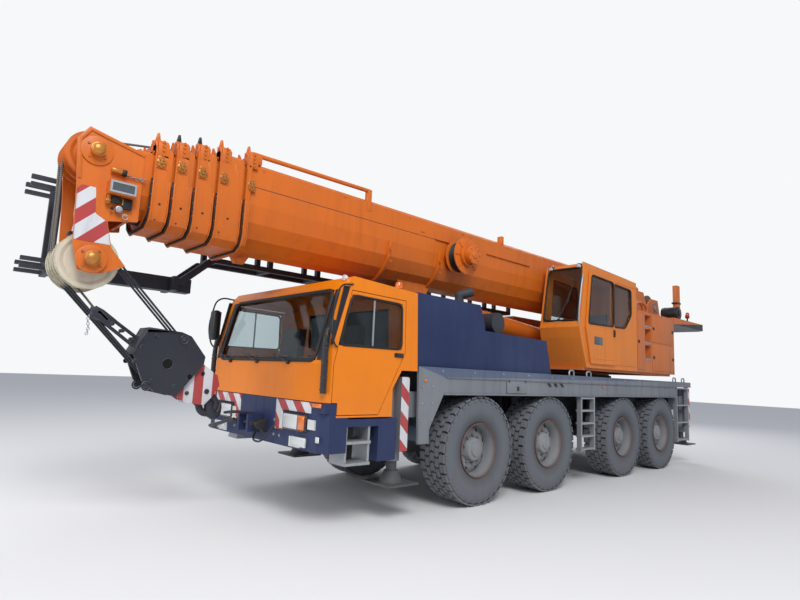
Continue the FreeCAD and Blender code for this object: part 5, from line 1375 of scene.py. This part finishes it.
# %% Cabin window rubbers
CABIN_SIDE, CABIN_INNER = 1300.0, 530.0
cabin_rings = (
    # name, body, y of the face, corners as (x, z)
    ("cabin_door_rubber", "cabin_door", CABIN_SIDE + 36, ((-2860, 2640), (-2985, 3500), (-3780, 3470), (-3780, 2660))),
    ("cabin_side_rubber", "superstructure", CABIN_SIDE + 2,
     ((-3860, 2665), (-3860, 3465), (-4560, 3440), (-4560, 2950), (-4300, 2680))),
    ("cabin_right_rubber", "superstructure", CABIN_INNER - 2,
     ((-2920, 2700), (-3000, 3500), (-3900, 3450), (-3900, 2700))),
)
for name, body, y, corners in cabin_rings:
    rubber_ring(name, [Vector((x, y, z)) for x, z in corners], body, 15, 60)


def on_cabin_front(y, z, out=3.0):
    """A place on the cabin's leaning windscreen."""
    return Vector((-2640 - (z - 2640) * 188 / 1050 + out, y, z))


front_corners = [on_cabin_front(y, z) for y, z in ((590, 2680), (1240, 2680), (1240, 3620), (590, 3620))]
rubber_ring("cabin_screen_rubber", front_corners, "superstructure", 16, 70)

# %% Cabin fittings
form = bmesh.new()
rod(form, on_cabin_front(900, 2690, 24), on_cabin_front(1080, 3180, 24), 9, segments=8)
rod(form, on_cabin_front(1040, 2960, 18), on_cabin_front(1120, 3390, 18), 8, segments=8)
rod(form, on_cabin_front(900, 2690, 0), on_cabin_front(900, 2690, 34), 22, segments=16, amount=3)
finish_piece("cabin_wiper", form, black_paint, "superstructure")
form = bmesh.new()
block(form, -3805, -3765, CABIN_SIDE + 34, CABIN_SIDE + 58, 2470, 2600, 6)
rod(form, (-3785, CABIN_SIDE + 40, 2535), (-3785, CABIN_SIDE + 64, 2535), 16, segments=16, amount=3)
finish_piece("cabin_door_handle", form, black_paint, "cabin_door")
form = bmesh.new()
for x0, x1, z in ((-2850, -3840, 2612), (-2850, -3840, 2040)):
    block(form, x0, x1, CABIN_SIDE + 33, CABIN_SIDE + 38, z, z + 8, 2)
finish_piece("cabin_door_seams", form, cabin_orange, "cabin_door")
tube("cabin_grab_rail", [(-2700, CABIN_SIDE - 30, 2560), (-2640, CABIN_SIDE - 20, 2600), (-2770, CABIN_SIDE - 16, 3460),
                         (-2830, CABIN_SIDE - 30, 3500)], 14, zinc, "superstructure")
form = bmesh.new()
for y in (640, 1190):
    block(form, -2900, -2822, y - 55, y + 55, 3640, 3690, 10)
    rod(form, (-2830, y, 3655), (-2796, y, 3640), 48, 52, 24, 5)
finish_piece("cabin_work_lamps", form, black_paint, "superstructure")
form = bmesh.new()
for y in (640, 1190):
    rod(form, (-2800, y, 3642), (-2792, y, 3638), 44, segments=24, amount=2)
finish_piece("cabin_lamp_glass", form, clear_lens, "superstructure")
for index, y in enumerate((620, 1210)):
    path = [(-2900, y, 3680), (-2900, y, 3730), (-4650, y, 3665), (-4650, y, 3615)]
    tube(f"cabin_roof_rail_{index}", path, 13, zinc, "superstructure", smooth=False)
form = bmesh.new()
block(form, -3360, -3060, CABIN_SIDE + 33, CABIN_SIDE + 36, 2290, 2430, 2)
finish_piece("cabin_blank_plate", form, dark_panel, "cabin_door")

# %% Housing doors, steps and pipes
HOUSING_SIDE = 1290.0
form = bmesh.new()
for x0, x1, z0, z1 in ((-5160, -4840, 1930, 3060), (-6620, -5520, 1930, 2480), (-6620, -5520, 2510, 3060)):
    block(form, x0, x1, HOUSING_SIDE - 4, HOUSING_SIDE + 12, z0, z1, 6)
finish_piece("housing_doors", form, panel_orange, "superstructure")
form = bmesh.new()
for x, z in ((-4890, 2480), (-5580, 2200), (-5580, 2790), (-6560, 2200), (-6560, 2790)):
    block(form, x - 40, x + 40, HOUSING_SIDE + 10, HOUSING_SIDE + 20, z - 30, z + 30, 5)
    rod(form, (x, HOUSING_SIDE + 16, z), (x, HOUSING_SIDE + 32, z), 14, segments=16, amount=3)
finish_piece("housing_latches", form, black_paint, "superstructure")
form = bmesh.new()
for z in (2130, 2460, 2790):
    block(form, -5470, -5210, HOUSING_SIDE - 60, HOUSING_SIDE + 6, z + 2, z + 26, 4)
    rod(form, (-5470, HOUSING_SIDE - 20, z + 40), (-5210, HOUSING_SIDE - 20, z + 40), 8, segments=8)
finish_piece("housing_treads", form, zinc, "superstructure")
for index, (x, shift) in enumerate(((-4990, 0), (-5100, 30))):
    path = [(x, 1130 + shift, 3104), (x, 1130 + shift, 3240), (x - 120, 1110 + shift, 3300), (x - 520, 1090 + shift, 3290),
            (x - 620, 1080 + shift, 3200), (x - 620, 1080 + shift, 3104)]
    tube(f"housing_pipe_{index}", path, 26, panel_orange, "superstructure")
form = bmesh.new()
bolts(form, [(x, HOUSING_SIDE + 1, z) for x in range(-6600, -4850, 290) for z in (1915, 3078)], "y", 1, 10, 9)
bolts(form, [(x, -HOUSING_SIDE - 1, z) for x in range(-6600, -3400, 320) for z in (1915, 2870)], "y", -1, 10, 9)
finish_piece("housing_bolts", form, zinc, "superstructure")
form = bmesh.new()
for x0, x1 in ((-6620, -5560), (-5520, -4460), (-4420, -3360)):
    block(form, x0, x1, -HOUSING_SIDE - 12, -HOUSING_SIDE + 4, 1930, 2860, 6)
finish_piece("right_housing_doors", form, panel_orange, "superstructure")

# %% Platform filter and beacon
form = bmesh.new()
rod(form, (-7300, 820, 3300), (-7300, 1180, 3300), 150, segments=40, amount=10)
for y in (870, 1120):
    rod(form, (-7300, y, 3300), (-7300, y + 16, 3300), 156, segments=40, amount=3)
rod(form, (-7300, 1180, 3300), (-7300, 1200, 3300), 60, segments=24, amount=5)
finish_piece("round_filter", form, black_paint, "superstructure")
form = bmesh.new()
rod(form, (-8300, 1000, 3140), (-8300, 1000, 3300), 18, segments=12)
rod(form, (-8300, 1000, 3300), (-8300, 1000, 3330), 50, segments=24, amount=5)
block(form, -7725, -7505, 940, 1070, 3560, 3600, 4)
finish_piece("platform_fittings", form, black_paint, "superstructure")
form = bmesh.new()
rod(form, (-8300, 1000, 3330), (-8300, 1000, 3440), 52, 38, 32, 14)
finish_piece("red_beacon", form, red_lens, "superstructure")

# %% [markdown]
# The rope lies in one even layer of turns on each drum; here it is wound on one drum, and it leaves the
# upper drum for the boom's top. A turn is a ring, because from a step away a coil can't be told from rings laid side by
# side.

# %% Rope on the winch
WINCH_AT = (-7600.0, 3490.0)
form = bmesh.new()
pitch = 26.0
for turn in range(25):
    ring(form, (WINCH_AT[0], -312 + pitch * turn, WINCH_AT[1]), (0, 1, 0), 262, 12, 40, 8)
finish_piece("winch_rope", form, rope_finish, "superstructure")
form = bmesh.new()
for side in (-1, 1):
    bolts(form, [(WINCH_AT[0] + 120 * math.cos(k * math.pi / 4), side * 512, WINCH_AT[1] + 120 * math.sin(k * math.pi / 4))
                 for k in range(8)], "y", side, 15, 12)
    rod(form, (WINCH_AT[0], side * 511, WINCH_AT[1]), (WINCH_AT[0], side * 540, WINCH_AT[1]), 70, segments=32, amount=6)
    for x, z in ((-4500, 2380), (-6600, 3500)):
        rod(form, (x, side * 511, z), (x, side * 532, z), 84, segments=32, amount=6)
        bolts(form, [(x, side * 532, z)], "y", side, 26, 14)
finish_piece("side_plate_pins", form, steel_grey, "superstructure")
